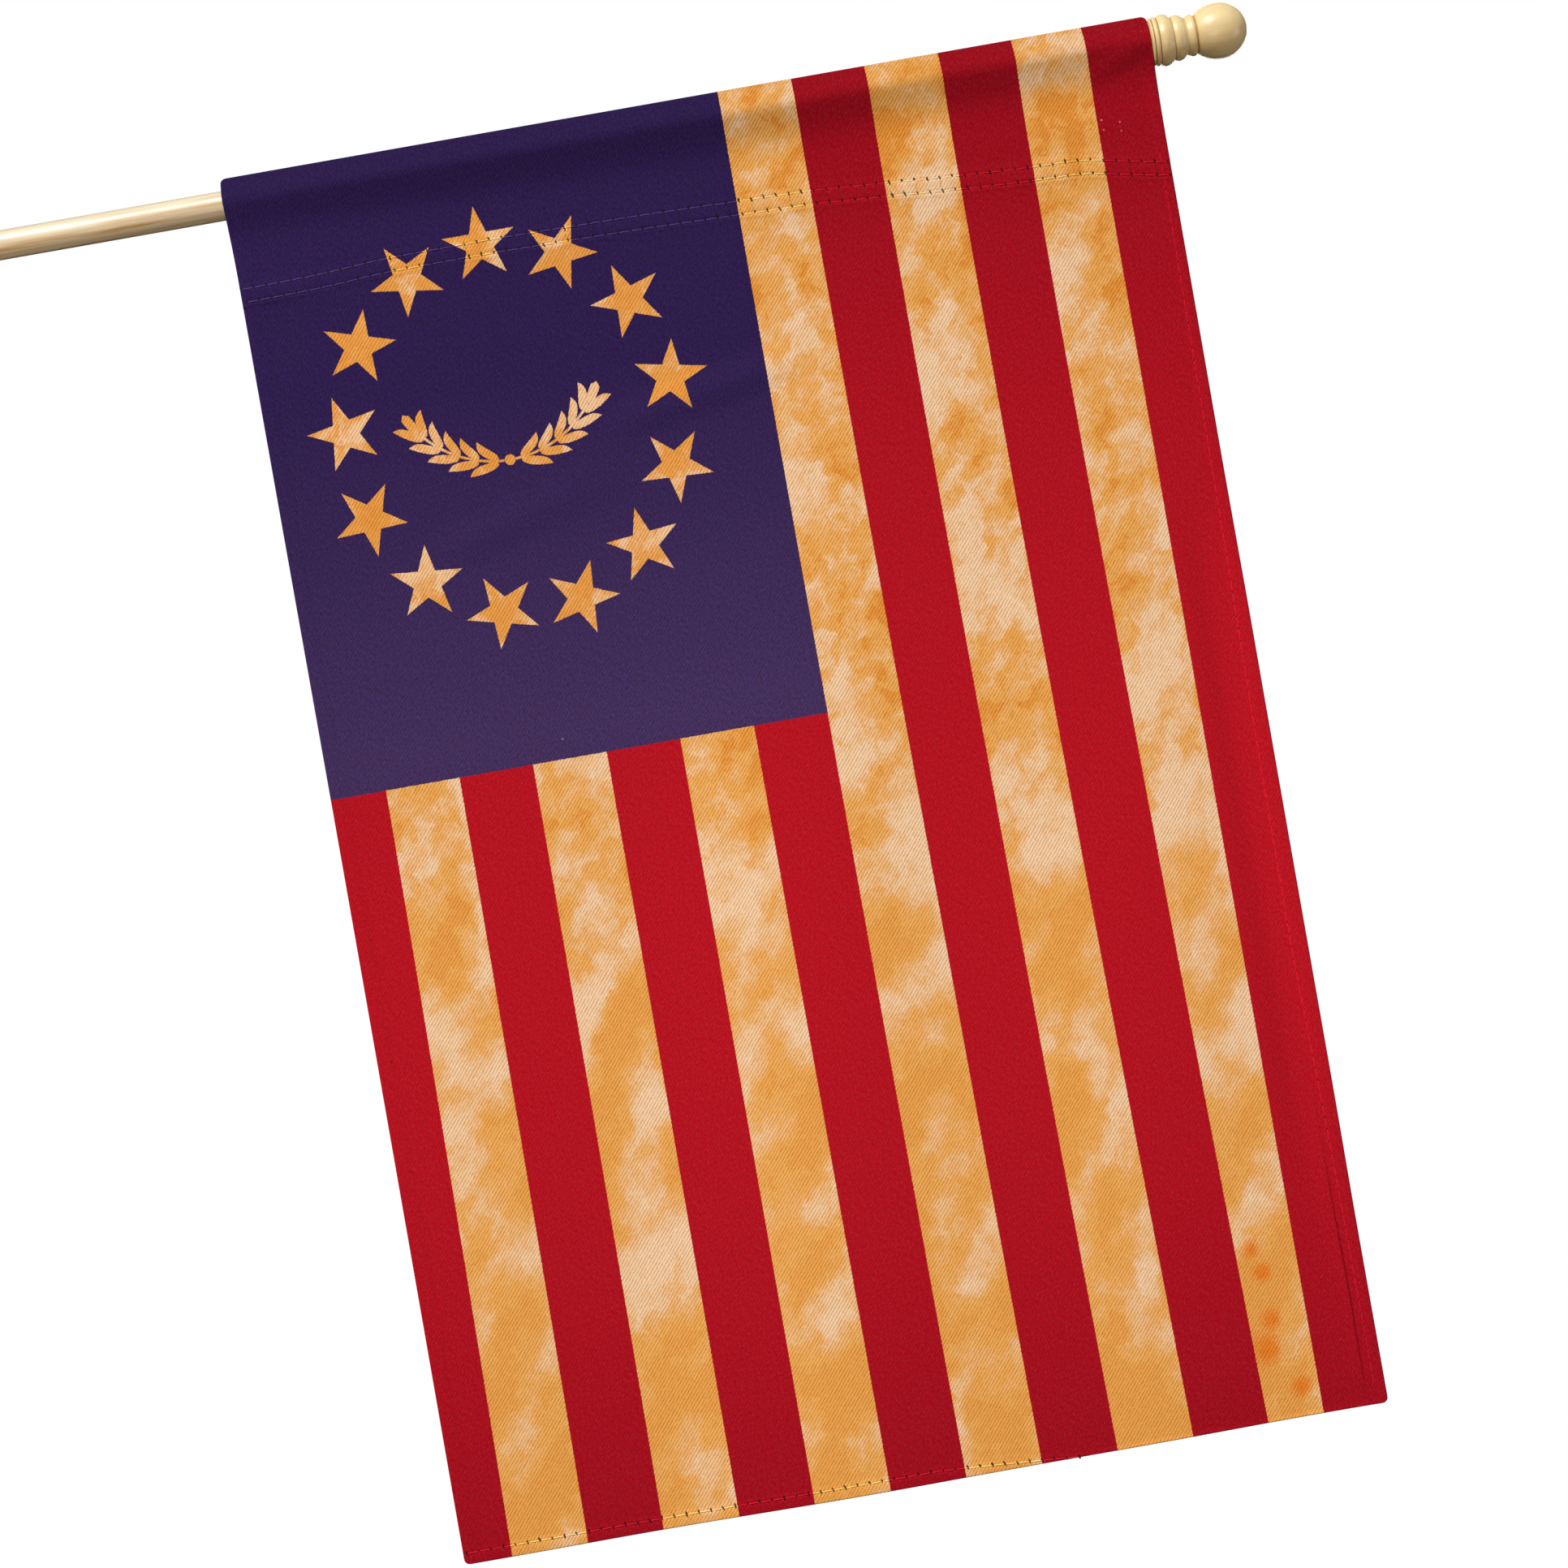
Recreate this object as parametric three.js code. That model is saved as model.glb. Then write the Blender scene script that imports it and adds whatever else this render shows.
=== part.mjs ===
// A house flag hung from a wooden pole: one printed cloth with a stitched pole sleeve and hems, a
// round pole and a turned ball finial. The pole runs level along +X from its butt at the origin, the
// cloth hangs plumb below it towards -Z, and the printed front faces -Y. Sizes are in millimetres.
import * as THREE from "three";
import { mergeVertices } from "three/addons/utils/BufferGeometryUtils.js";

// Driving sizes of the whole
const OVERALL_LENGTH = 1524;
const FLAG_WIDTH = 711.2;
const FLAG_LENGTH = FLAG_WIDTH * 1.5;
const POLE_DIAMETER = 22.2;
const GAP = 0.4;

// Cloth
const CLOTH_THICKNESS = 1.2;
const HEM_EXTRA = 0.8;
const CORNER_RADIUS = 5;
const FOLD_ABOVE_AXIS = 20.3;
const SEAM_DEPTH = 85;
const SEAM_ROW_GAP = 10.3;
const TURNED_EDGE = 2.5;
const BOTTOM_HEM = 11;
const LEFT_HEM = 14;
const RIGHT_HEM = 14;

// Turned finial, measured along its axis from the face that meets the pole
const BALL_RADIUS = 21.1;
const BALL_NECK_SIDE = 25.5;
const BALL_CENTRE = 53.1;
const FINIAL_LENGTH = BALL_CENTRE + BALL_RADIUS;

// Places along the pole
const FINIAL_X = OVERALL_LENGTH - FINIAL_LENGTH;
const POLE_LENGTH = FINIAL_X - GAP;
const FLAG_RIGHT_X = FINIAL_X - GAP;
const FLAG_LEFT_X = FLAG_RIGHT_X - FLAG_WIDTH;

// Fineness of the faceted surfaces
const ROUND_SEGMENTS = 40;
const ARC_STEPS = 7;
const TAIL_ROWS = 13;
const INNER_STATIONS = 34;

// Depth of the sleeve's lower seam below the top fold, by place along the flag's width. The seam
// is sewn by hand and eye, so it dips towards the finial.
const SEAM_LINE = [
  [0, 85.5], [63, 84.3], [107, 81.2], [190, 80.6], [310, 82.4], [443, 86.4],
  [543, 94.1], [600, 97.8], [647, 99], [683, 107], [FLAG_WIDTH, 112.5],
];

function seamDepthAt(along) {
  for (let i = 1; i < SEAM_LINE.length; i += 1) {
    const [endAlong, endDepth] = SEAM_LINE[i];
    const [startAlong, startDepth] = SEAM_LINE[i - 1];
    if (along <= endAlong) {
      const share = (along - startAlong) / (endAlong - startAlong);
      return THREE.MathUtils.lerp(startDepth, endDepth, share);
    }
  }
  return SEAM_LINE[SEAM_LINE.length - 1][1];
}

// Section across the sleeve and the hanging cloth. In the shape, x runs from the front to the back
// and y runs up, with the pole's axis at the origin.
const sleeveInside = POLE_DIAMETER / 2 + GAP;
const sleeveOutside = sleeveInside + CLOTH_THICKNESS;
const upperAngle = Math.asin(sleeveOutside / FOLD_ABOVE_AXIS);
const seamBelowAxis = SEAM_DEPTH - FOLD_ABOVE_AXIS;
const lowerAngle = Math.asin(sleeveInside / seamBelowAxis);

// The top fold is a pressed, slightly rounded crease: how far each row is below it and to its side
const FOLD_ROWS = [[0.4, 0.75], [1.6, 1.65], [5, 4.15]];

// The two tangent lines and the arc that wrap the pole on one side, from the fold to the seam
function wrapPoints(radius, side) {
  const points = [];
  const apex = radius / Math.sin(upperAngle);
  if (radius === sleeveOutside) {
    for (const [drop, aside] of FOLD_ROWS) {
      points.push([side * aside, apex - drop]);
    }
  }
  for (let i = 0; i <= ARC_STEPS; i += 1) {
    const angle = THREE.MathUtils.lerp(upperAngle, -lowerAngle, i / ARC_STEPS);
    points.push([side * radius * Math.cos(angle), radius * Math.sin(angle)]);
  }
  return points;
}

// Depths of the rows down the hanging cloth, closer together at the hem and its rounded corners
function tailDepths() {
  const start = SEAM_DEPTH + SEAM_ROW_GAP + TURNED_EDGE;
  const end = FLAG_LENGTH - BOTTOM_HEM;
  const depths = [];
  for (let i = 0; i <= TAIL_ROWS; i += 1) {
    depths.push(THREE.MathUtils.lerp(start, end, i / TAIL_ROWS));
  }
  const cornerRows = FOLD_ROWS.map(([drop]) => FLAG_LENGTH - drop).reverse();
  return [...depths, end + 2, ...cornerRows, FLAG_LENGTH];
}

// The hanging cloth bows a little towards the back on its way down.
function bow(depth) {
  const share = (depth - SEAM_DEPTH) / (FLAG_LENGTH - SEAM_DEPTH);
  return share > 0 ? 8 * share * (1 - share) : 0;
}

function clothSection() {
  const heightOf = (depth) => FOLD_ABOVE_AXIS - depth;
  const seamSide = CLOTH_THICKNESS / Math.cos(lowerAngle);
  const allowance = CLOTH_THICKNESS + HEM_EXTRA;
  const rowTwo = SEAM_DEPTH + SEAM_ROW_GAP;
  const tail = tailDepths();
  const back = [
    ...wrapPoints(sleeveOutside, 1),
    [seamSide, heightOf(SEAM_DEPTH - TURNED_EDGE)],
    [allowance, heightOf(SEAM_DEPTH)],
    [allowance, heightOf(rowTwo)],
    ...tail.map((depth) => [bow(depth), heightOf(depth)]),
  ];
  const front = [
    ...wrapPoints(sleeveOutside, -1),
    [-seamSide, heightOf(SEAM_DEPTH)],
    [bow(rowTwo) - CLOTH_THICKNESS, heightOf(rowTwo)],
    ...tail.map((depth) => [bow(depth) - CLOTH_THICKNESS, heightOf(depth)]),
  ];
  const outline = [[0, FOLD_ABOVE_AXIS], ...front, ...back.reverse()];
  const tunnel = [
    [0, sleeveInside / Math.sin(upperAngle)],
    ...wrapPoints(sleeveInside, 1),
    [0, -seamBelowAxis],
    ...wrapPoints(sleeveInside, -1).reverse(),
  ];
  const toVectors = (points) => points.map(([x, y]) => new THREE.Vector2(x, y));
  const section = new THREE.Shape(toVectors(outline));
  section.holes.push(new THREE.Path(toVectors(tunnel)));
  return section;
}

// Places of the sections along the width: the two cut ends, the side hems, and even steps between
function stationPlaces() {
  const places = [0, LEFT_HEM - 2, LEFT_HEM];
  for (let i = 1; i < INNER_STATIONS; i += 1) {
    places.push(THREE.MathUtils.lerp(LEFT_HEM, FLAG_WIDTH - RIGHT_HEM, i / INNER_STATIONS));
  }
  return [...places, FLAG_WIDTH - RIGHT_HEM, FLAG_WIDTH - RIGHT_HEM + 2, FLAG_WIDTH];
}

// The seam line's dip is taken up between the pole and a little below the seam.
function seamShift(along, depth) {
  const loose = FOLD_ABOVE_AXIS + sleeveOutside;
  const end = SEAM_DEPTH + SEAM_ROW_GAP + TURNED_EDGE;
  const fadedOut = 320;
  const shift = seamDepthAt(along) - SEAM_DEPTH;
  const growth = THREE.MathUtils.clamp((depth - loose) / (SEAM_DEPTH - loose), 0, 1);
  const fade = THREE.MathUtils.clamp((fadedOut - depth) / (fadedOut - end), 0, 1);
  return shift * growth * fade;
}

// Slight unevenness of the hanging cloth towards the front and the back
function sway(along, depth) {
  const free = THREE.MathUtils.smoothstep(depth, 130, 620);
  const broad = 2.6 * Math.sin((2 * Math.PI * along) / 560 + 0.7);
  const narrow = 1.1 * Math.sin((2 * Math.PI * along) / 250 + depth / 300);
  const fromRight = FLAG_WIDTH - along;
  const besideHem = Math.exp(-(((fromRight - 26) / 16) ** 2));
  const lowerThird = THREE.MathUtils.smoothstep(depth, 760, 860);
  return free * (broad + narrow) + 2 * besideHem * lowerThird;
}

function cornerInset(depth) {
  const fromEdge = Math.min(depth, FLAG_LENGTH - depth);
  const within = Math.max(CORNER_RADIUS - fromEdge, 0);
  return CORNER_RADIUS - Math.sqrt(CORNER_RADIUS ** 2 - within ** 2);
}

function makeCloth() {
  const places = stationPlaces();
  const steps = places.length - 1;
  const extruded = new THREE.ExtrudeGeometry(clothSection(), { depth: steps, steps, bevelEnabled: false });
  extruded.deleteAttribute("normal");
  extruded.deleteAttribute("uv");
  const cloth = mergeVertices(extruded, 1e-4);
  const position = cloth.getAttribute("position");
  for (let i = 0; i < position.count; i += 1) {
    const station = Math.round(position.getZ(i));
    const along = places[station];
    const nominalDepth = FOLD_ABOVE_AXIS - position.getY(i);
    const depth = nominalDepth + seamShift(along, nominalDepth);
    const onTailBack = nominalDepth > SEAM_DEPTH + SEAM_ROW_GAP + TURNED_EDGE / 2 && position.getX(i) > -0.1;
    const inSideHem = along <= LEFT_HEM - 2 || along >= FLAG_WIDTH - RIGHT_HEM + 2;
    const inBottomHem = nominalDepth >= FLAG_LENGTH - BOTTOM_HEM + 1;
    const hem = onTailBack && (inSideHem || inBottomHem) ? HEM_EXTRA : 0;
    const inset = cornerInset(nominalDepth);
    let x = along;
    if (station === 0) {
      x += inset;
    } else if (station === steps) {
      x -= inset;
    }
    const y = position.getX(i) + hem + sway(along, depth);
    position.setXYZ(i, FLAG_LEFT_X + x, y, FOLD_ABOVE_AXIS - depth);
  }
  return cloth;
}

// A turned piece from its profile, with the profile's own axis laid along +X
function turned(profile) {
  const points = profile.map(([radius, along]) => new THREE.Vector2(radius, along));
  const lathe = new THREE.LatheGeometry(points, ROUND_SEGMENTS);
  lathe.rotateZ(-Math.PI / 2);
  return lathe;
}

function makePole() {
  const radius = POLE_DIAMETER / 2;
  const chamfer = 1.2;
  return turned([
    [0, 0],
    [radius - chamfer, 0],
    [radius, chamfer],
    [radius, POLE_LENGTH],
    [0, POLE_LENGTH],
  ]);
}

// A rounded bead between two places on the axis, which bulges past its ends' radii
function bead(start, end, startRadius, endRadius, bulge, steps) {
  const points = [];
  for (let i = 0; i <= steps; i += 1) {
    const share = i / steps;
    const radius = THREE.MathUtils.lerp(startRadius, endRadius, share) + bulge * Math.sin(Math.PI * share);
    points.push([radius, THREE.MathUtils.lerp(start, end, share)]);
  }
  return points;
}

function makeFinial() {
  const rings = [
    ...bead(0, 3, 17.7, 17.9, 0.7, 3),
    [17.5, 3.2],
    ...bead(3.4, 6.8, 18, 18.1, 0.7, 3),
    [17.4, 7.1],
    ...bead(7.4, 16.6, 18.2, 16.9, 2, 6),
    [16.2, 16.9],
  ];
  // Second bead, cove and collar flow into each other
  const flowing = new THREE.SplineCurve([
    new THREE.Vector2(16.6, 17.3),
    new THREE.Vector2(17.4, 20.6),
    new THREE.Vector2(16.4, 24.2),
    new THREE.Vector2(14.3, 27.2),
    new THREE.Vector2(15.7, 31),
    new THREE.Vector2(15.6, 33),
    new THREE.Vector2(14.4, 34.3),
  ]);
  const neck = flowing.getPoints(12).map((point) => [point.x, point.y]);
  const ball = [];
  const ballSteps = 16;
  const neckAngle = Math.acos(14.6 / BALL_RADIUS);
  for (let i = 0; i <= ballSteps; i += 1) {
    const angle = THREE.MathUtils.lerp(-neckAngle, Math.PI / 2, i / ballSteps);
    const reach = angle < 0 ? BALL_NECK_SIDE : BALL_RADIUS;
    const radius = i === ballSteps ? 0 : BALL_RADIUS * Math.cos(angle);
    ball.push([radius, BALL_CENTRE + reach * Math.sin(angle)]);
  }
  const profile = [[0, 0], ...rings, ...neck, ...ball];
  return turned(profile);
}

function named(name, geometry, color, roughness) {
  const material = new THREE.MeshStandardMaterial({ color, roughness, metalness: 0 });
  const mesh = new THREE.Mesh(geometry, material);
  mesh.name = name;
  return mesh;
}

const flag = new THREE.Group();
flag.add(named("flag_cloth", makeCloth(), "#a8182a", 0.9));

const pole = named("pole", makePole(), "#e8d3a5", 0.5);
flag.add(pole);

const finial = named("finial", makeFinial(), "#e6d39b", 0.35);
finial.position.x = FINIAL_X;
flag.add(finial);

export default flag;
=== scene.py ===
"""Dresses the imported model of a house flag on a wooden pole: the printed twill with its stitched
sleeve and hems, the pole, the turned finial, and a plain studio stage."""

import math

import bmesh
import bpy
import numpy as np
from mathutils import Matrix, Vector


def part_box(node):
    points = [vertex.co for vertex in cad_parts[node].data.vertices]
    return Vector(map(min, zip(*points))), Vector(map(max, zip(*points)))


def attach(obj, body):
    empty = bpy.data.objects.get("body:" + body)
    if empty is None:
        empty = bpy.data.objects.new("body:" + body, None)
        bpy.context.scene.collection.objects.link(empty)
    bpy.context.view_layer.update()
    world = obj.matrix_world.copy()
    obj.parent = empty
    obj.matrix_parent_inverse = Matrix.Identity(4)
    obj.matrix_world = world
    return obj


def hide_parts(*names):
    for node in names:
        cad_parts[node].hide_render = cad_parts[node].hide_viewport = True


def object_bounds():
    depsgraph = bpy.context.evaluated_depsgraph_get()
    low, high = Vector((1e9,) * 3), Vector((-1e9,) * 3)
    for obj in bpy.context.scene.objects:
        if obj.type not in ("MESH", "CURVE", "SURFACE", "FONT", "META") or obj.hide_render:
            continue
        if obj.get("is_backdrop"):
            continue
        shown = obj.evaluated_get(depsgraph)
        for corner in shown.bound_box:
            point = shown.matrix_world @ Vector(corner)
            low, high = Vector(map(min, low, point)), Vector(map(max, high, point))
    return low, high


bl_info = {
    "name": "House Flag Dresser",
    "version": (1, 0, 0),
    "blender": (4, 5, 0),
    "location": "3D View > Sidebar > House Flag",
    "description": "Sews, prints and lights a house flag hung from a wooden pole",
    "category": "Object",
}

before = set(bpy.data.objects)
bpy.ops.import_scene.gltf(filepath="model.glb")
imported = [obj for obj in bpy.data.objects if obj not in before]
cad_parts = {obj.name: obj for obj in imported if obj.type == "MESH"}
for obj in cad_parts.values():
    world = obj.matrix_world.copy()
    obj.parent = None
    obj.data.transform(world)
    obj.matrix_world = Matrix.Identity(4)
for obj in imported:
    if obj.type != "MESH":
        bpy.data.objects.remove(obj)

CAD_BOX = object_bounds()
MM = 0.001

# Places and sizes that the solids give, in millimetres
CLOTH_LOW, CLOTH_HIGH = (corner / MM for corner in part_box("flag_cloth"))
POLE_LOW, POLE_HIGH = (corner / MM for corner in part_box("pole"))
FINIAL_LOW, FINIAL_HIGH = (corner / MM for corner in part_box("finial"))
FLAG_LEFT = CLOTH_LOW.x
FLAG_WIDTH = CLOTH_HIGH.x - CLOTH_LOW.x
FOLD_HEIGHT = CLOTH_HIGH.z
FLAG_LENGTH = CLOTH_HIGH.z - CLOTH_LOW.z
POLE_RADIUS = POLE_HIGH.z
FINIAL_START = FINIAL_LOW.x

# Depth of the sleeve's upper stitch row below the fold, by place along the width, in millimetres
SEAM_LINE = (
    (0, 85.5), (63, 84.3), (107, 81.2), (190, 80.6), (310, 82.4), (443, 86.4),
    (543, 94.1), (600, 97.8), (647, 99.0), (683, 107.0), (711.2, 112.5),
)

# Soft ridges in the cloth: both ends as (along, depth), height and half width, in millimetres
SOFT_RIDGES = (
    ((123, 308), (239, 275), 1.3, 22),
    ((271, 233), (394, 211), 1.9, 20),
    ((664, 40), (709, 21), 1.0, 12),
)

# Pale specks of lint: place along and depth below the fold, in millimetres
LINT_SPECKS = ((665, 72), (665.6, 79.4), (678.6, 75.7), (678.6, 82.4), (181.5, 462.6))

# Small rusty spots on the last pale stripe: place along, depth below the fold and radius, in millimetres
RUST_SPOTS = (
    (628, 935, 11), (634, 953, 9), (635, 990, 10), (628, 1012, 16), (649, 1044, 10),
)


def length_mm(name, default, description):
    """A size in millimetres that a user may change."""
    return bpy.props.FloatProperty(
        name=name, default=default, description=f"{description}, in millimetres", precision=2)


def brightness(name, default, description):
    """A light's power or strength that a user may change."""
    return bpy.props.FloatProperty(name=name, default=default, description=description, min=0)


def paint(name, default, description):
    """A colour that a user may change, given as eye values from 0 to 255."""
    return bpy.props.FloatVectorProperty(
        name=name,
        description=description,
        subtype="COLOR",
        size=3,
        min=0,
        max=1,
        default=tuple(to_linear(value / 255) for value in default),
    )


def to_linear(value):
    """The linear value of an eye value from 0 to 1."""
    if value <= 0.04045:
        return value / 12.92
    return ((value + 0.055) / 1.055) ** 2.4


class FlagSewing(bpy.types.PropertyGroup):
    """Sizes of the cloth, its sleeve, hems and stitches."""

    cloth: length_mm("Cloth", 0.8, "Thickness of the twill")
    ease: length_mm("Sleeve Ease", 0.4, "Room between the pole and the sleeve")
    row_gap: length_mm("Row Gap", 10.3, "Distance between the sleeve's two stitch rows")
    stitch: length_mm("Stitch", 9.4, "Length of one stitch with its gap")
    thread: length_mm("Thread", 0.78, "Width of the thread")
    bottom_hem: length_mm("Bottom Hem", 8.6, "Height of the stitch row above the bottom edge")
    corner: length_mm("Corner", 4.4, "Radius of the flag's corners")
    twill_pitch: length_mm("Twill Pitch", 2.24, "Distance between two ribs of the twill")
    twill_angle: bpy.props.FloatProperty(
        name="Twill Angle",
        description="Rise of the ribs from the left to the right",
        default=math.radians(50.5),
        subtype="ANGLE",
    )


class FlagPrint(bpy.types.PropertyGroup):
    """Layout and inks of the printed design."""

    stripe: length_mm("Stripe", 56.4, "Width of a stripe near the top")
    fan: length_mm("Stripe Fan", 1.66, "How much wider a stripe is near the bottom")
    fan_centre: length_mm("Fan Centre", 269.5, "Stripe edge that stays upright")
    last_edge: length_mm("Last Edge", 661.6, "Edge of the last stripe beside the right hem")
    canton_depth: length_mm("Canton Depth", 478.0, "Height of the canton")
    ring_along: length_mm("Ring Along", 184.7, "Centre of the ring of stars from the left edge")
    ring_depth: length_mm("Ring Depth", 223.3, "Centre of the ring of stars below the fold")
    ring_width: length_mm("Ring Half Width", 126.1, "Half the ring's width")
    ring_height: length_mm("Ring Half Height", 140.3, "Half the ring's height")
    stars: bpy.props.IntProperty(name="Stars", default=13, min=3, description="Stars in the ring")
    star: length_mm("Star", 28.9, "Radius of a star's tips")
    # The navy is one ink; its paler colour is painted sheen towards the canton's lower edge
    navy: paint("Navy", (45, 28, 76), "Ink of the canton near the top")
    navy_painted_sheen: paint("Navy Painted Sheen", (67, 47, 91), "Ink of the canton near its lower edge")
    # The red is one ink; its brighter colour is painted light at half height
    red: paint("Red", (154, 7, 25), "Ink of the red stripes near the top and the bottom")
    red_painted_light: paint("Bright Red", (181, 15, 29), "Ink of the red stripes at half height")
    rust: paint("Rust", (230, 122, 30), "Small rusty spots")
    tea_deep: paint("Deep Tea", (226, 146, 60), "Strongest tea stain")
    tea: paint("Tea", (234, 168, 88), "Usual tea stain")
    tea_pale: paint("Pale Tea", (241, 203, 164), "Cream patches between the stains")


class WoodLook(bpy.types.PropertyGroup):
    """Colours of the pole and the finial."""

    pole_light: paint("Pole", (234, 219, 184), "Pale wood of the pole")
    pole_grain: paint("Pole Grain", (190, 138, 72), "Darker grain of the pole")
    finial_light: paint("Finial", (236, 211, 155), "Pale wood of the finial")
    finial_grain: paint("Finial Grain", (218, 176, 110), "Darker grain of the finial")


class StudioStage(bpy.types.PropertyGroup):
    """Camera and light of the studio."""

    distance: bpy.props.FloatProperty(
        name="Distance", default=2.375, unit="LENGTH", description="Camera to flag")
    width: bpy.props.FloatProperty(
        name="Frame Width", default=1.1885, unit="LENGTH", description="Width of the image at the flag")
    roll: bpy.props.FloatProperty(
        name="Roll", default=math.radians(10), subtype="ANGLE", description="Rise of the pole to the right")
    front_light: brightness("Front Light", 6.0, "Power of the front softbox")
    key_light: brightness("Key Light", 3.0, "Strength of the wide key light")
    rear_light: brightness("Rear Light", 50.0, "Power of the rear softbox")
    pole_fill: brightness("Pole Fill", 0.2, "Power of the fill below the bare pole")
    finial_fill: brightness("Finial Fill", 0.013, "Power of the fill beside the finial")
    room_light: brightness("Room Light", 0.34, "Strength of the light from above")


def maths_method(operation):
    """A method that puts one maths node after a field."""

    def method(field, *others):
        return field.maths(operation, *others)

    return method


class Field:
    """A value that varies over a surface, so that node maths reads as a formula."""

    def __init__(self, tree, socket):
        self.tree = tree
        self.socket = socket

    def maths(self, operation, *others):
        """The result of a maths node that takes this field first."""
        node = self.tree.nodes.new("ShaderNodeMath")
        node.operation = operation
        for slot, value in enumerate((self, *others)):
            feed(self.tree, node.inputs[slot], value)
        return Field(self.tree, node.outputs[0])

    __add__ = __radd__ = maths_method("ADD")
    __sub__ = maths_method("SUBTRACT")
    __mul__ = __rmul__ = maths_method("MULTIPLY")
    __truediv__ = maths_method("DIVIDE")
    size = maths_method("ABSOLUTE")
    least = maths_method("MINIMUM")
    most = maths_method("MAXIMUM")
    power = maths_method("POWER")
    nearest = maths_method("ROUND")
    sine = maths_method("SINE")
    cosine = maths_method("COSINE")

    def __rsub__(self, other):
        return (self * -1) + other

    def zigzag(self):
        """0 at even numbers and 1 at odd ones."""
        return self.maths("PINGPONG", 1)

    def between(self, low, high, soft=True):
        """0 at low and 1 at high, and even or soft between them."""
        node = self.tree.nodes.new("ShaderNodeMapRange")
        node.interpolation_type = "SMOOTHSTEP" if soft else "LINEAR"
        feed(self.tree, node.inputs["Value"], self)
        feed(self.tree, node.inputs["From Min"], low)
        feed(self.tree, node.inputs["From Max"], high)
        return Field(self.tree, node.outputs["Result"])


def feed(tree, socket, value):
    """Links a field to a socket, or sets the socket's own value."""
    if isinstance(value, Field):
        tree.links.new(value.socket, socket)
    elif hasattr(value, "__len__") and socket.type == "RGBA":
        socket.default_value = (*value[:3], 1)
    else:
        socket.default_value = value


def blend_colours(tree, factor, first, second, mode="MIX"):
    """The first colour with a share of the second on it."""
    node = tree.nodes.new("ShaderNodeMix")
    node.data_type = "RGBA"
    node.blend_type = mode
    colours = [socket for socket in node.inputs if socket.type == "RGBA"]
    feed(tree, node.inputs[0], factor)
    feed(tree, colours[0], first)
    feed(tree, colours[1], second)
    result = next(socket for socket in node.outputs if socket.type == "RGBA")
    return Field(tree, result)


def vector_of(tree, x, y, z):
    """Three values as a vector, or as a colour."""
    node = tree.nodes.new("ShaderNodeCombineXYZ")
    for socket, value in zip(node.inputs, (x, y, z)):
        feed(tree, socket, value)
    return Field(tree, node.outputs[0])


def noise(tree, x, y, z, detail=2.0, roughness=0.5, scale=1.0):
    """Smooth noise from 0 to 1 at a place given in its own steps."""
    node = tree.nodes.new("ShaderNodeTexNoise")
    feed(tree, node.inputs["Vector"], vector_of(tree, x, y, z))
    for name, value in (("Scale", scale), ("Detail", detail), ("Roughness", roughness)):
        feed(tree, node.inputs[name], value)
    return Field(tree, node.outputs["Fac"])


def distance(across, down):
    """Length of a step with these two parts, which are fields."""
    return (across * across + down * down).power(0.5)


def mesh_mark(tree, name):
    """A value that the mesh holds at its points."""
    node = tree.nodes.new("ShaderNodeAttribute")
    node.attribute_name = name
    return Field(tree, node.outputs["Fac"])


def object_place(tree):
    """A point's x, y and z on the object, in millimetres."""
    coordinates = tree.nodes.new("ShaderNodeTexCoord")
    split = tree.nodes.new("ShaderNodeSeparateXYZ")
    tree.links.new(coordinates.outputs["Object"], split.inputs[0])
    return [Field(tree, split.outputs[axis]) / MM for axis in "XYZ"]


def make_group(name, inputs, outputs, colours=()):
    """A node group with its named sockets, its inputs as fields, and a function that sets an output."""
    tree = bpy.data.node_groups.new(name, "ShaderNodeTree")
    for direction, names in (("INPUT", inputs), ("OUTPUT", outputs)):
        for socket_name in names:
            kind = "NodeSocketColor" if socket_name in colours else "NodeSocketFloat"
            tree.interface.new_socket(socket_name, in_out=direction, socket_type=kind)
    source = tree.nodes.new("NodeGroupInput")
    result = tree.nodes.new("NodeGroupOutput")
    fields = {socket_name: Field(tree, source.outputs[socket_name]) for socket_name in inputs}

    def give(socket_name, value):
        feed(tree, result.inputs[socket_name], value)

    return tree, fields, give


def place_group(tree, group, **values):
    """Puts a group into a tree and gives its outputs by name."""
    node = tree.nodes.new("ShaderNodeGroup")
    node.node_tree = group
    for name, value in values.items():
        feed(tree, node.inputs[name.replace("_", " ").title()], value)
    return {socket.name: Field(tree, socket) for socket in node.outputs}


def fetch_group(name, builder, *details):
    """The group of that name, which is built at its first use."""
    return bpy.data.node_groups.get(name) or builder(name, *details)


def flag_place_group(name):
    """Where a point is on the flag: along its width and below its fold, in millimetres."""
    tree, _, give = make_group(name, [], ["Along", "Depth"])
    x, _, z = object_place(tree)
    give("Along", x - FLAG_LEFT)
    give("Depth", FOLD_HEIGHT - z)
    return tree


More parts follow.
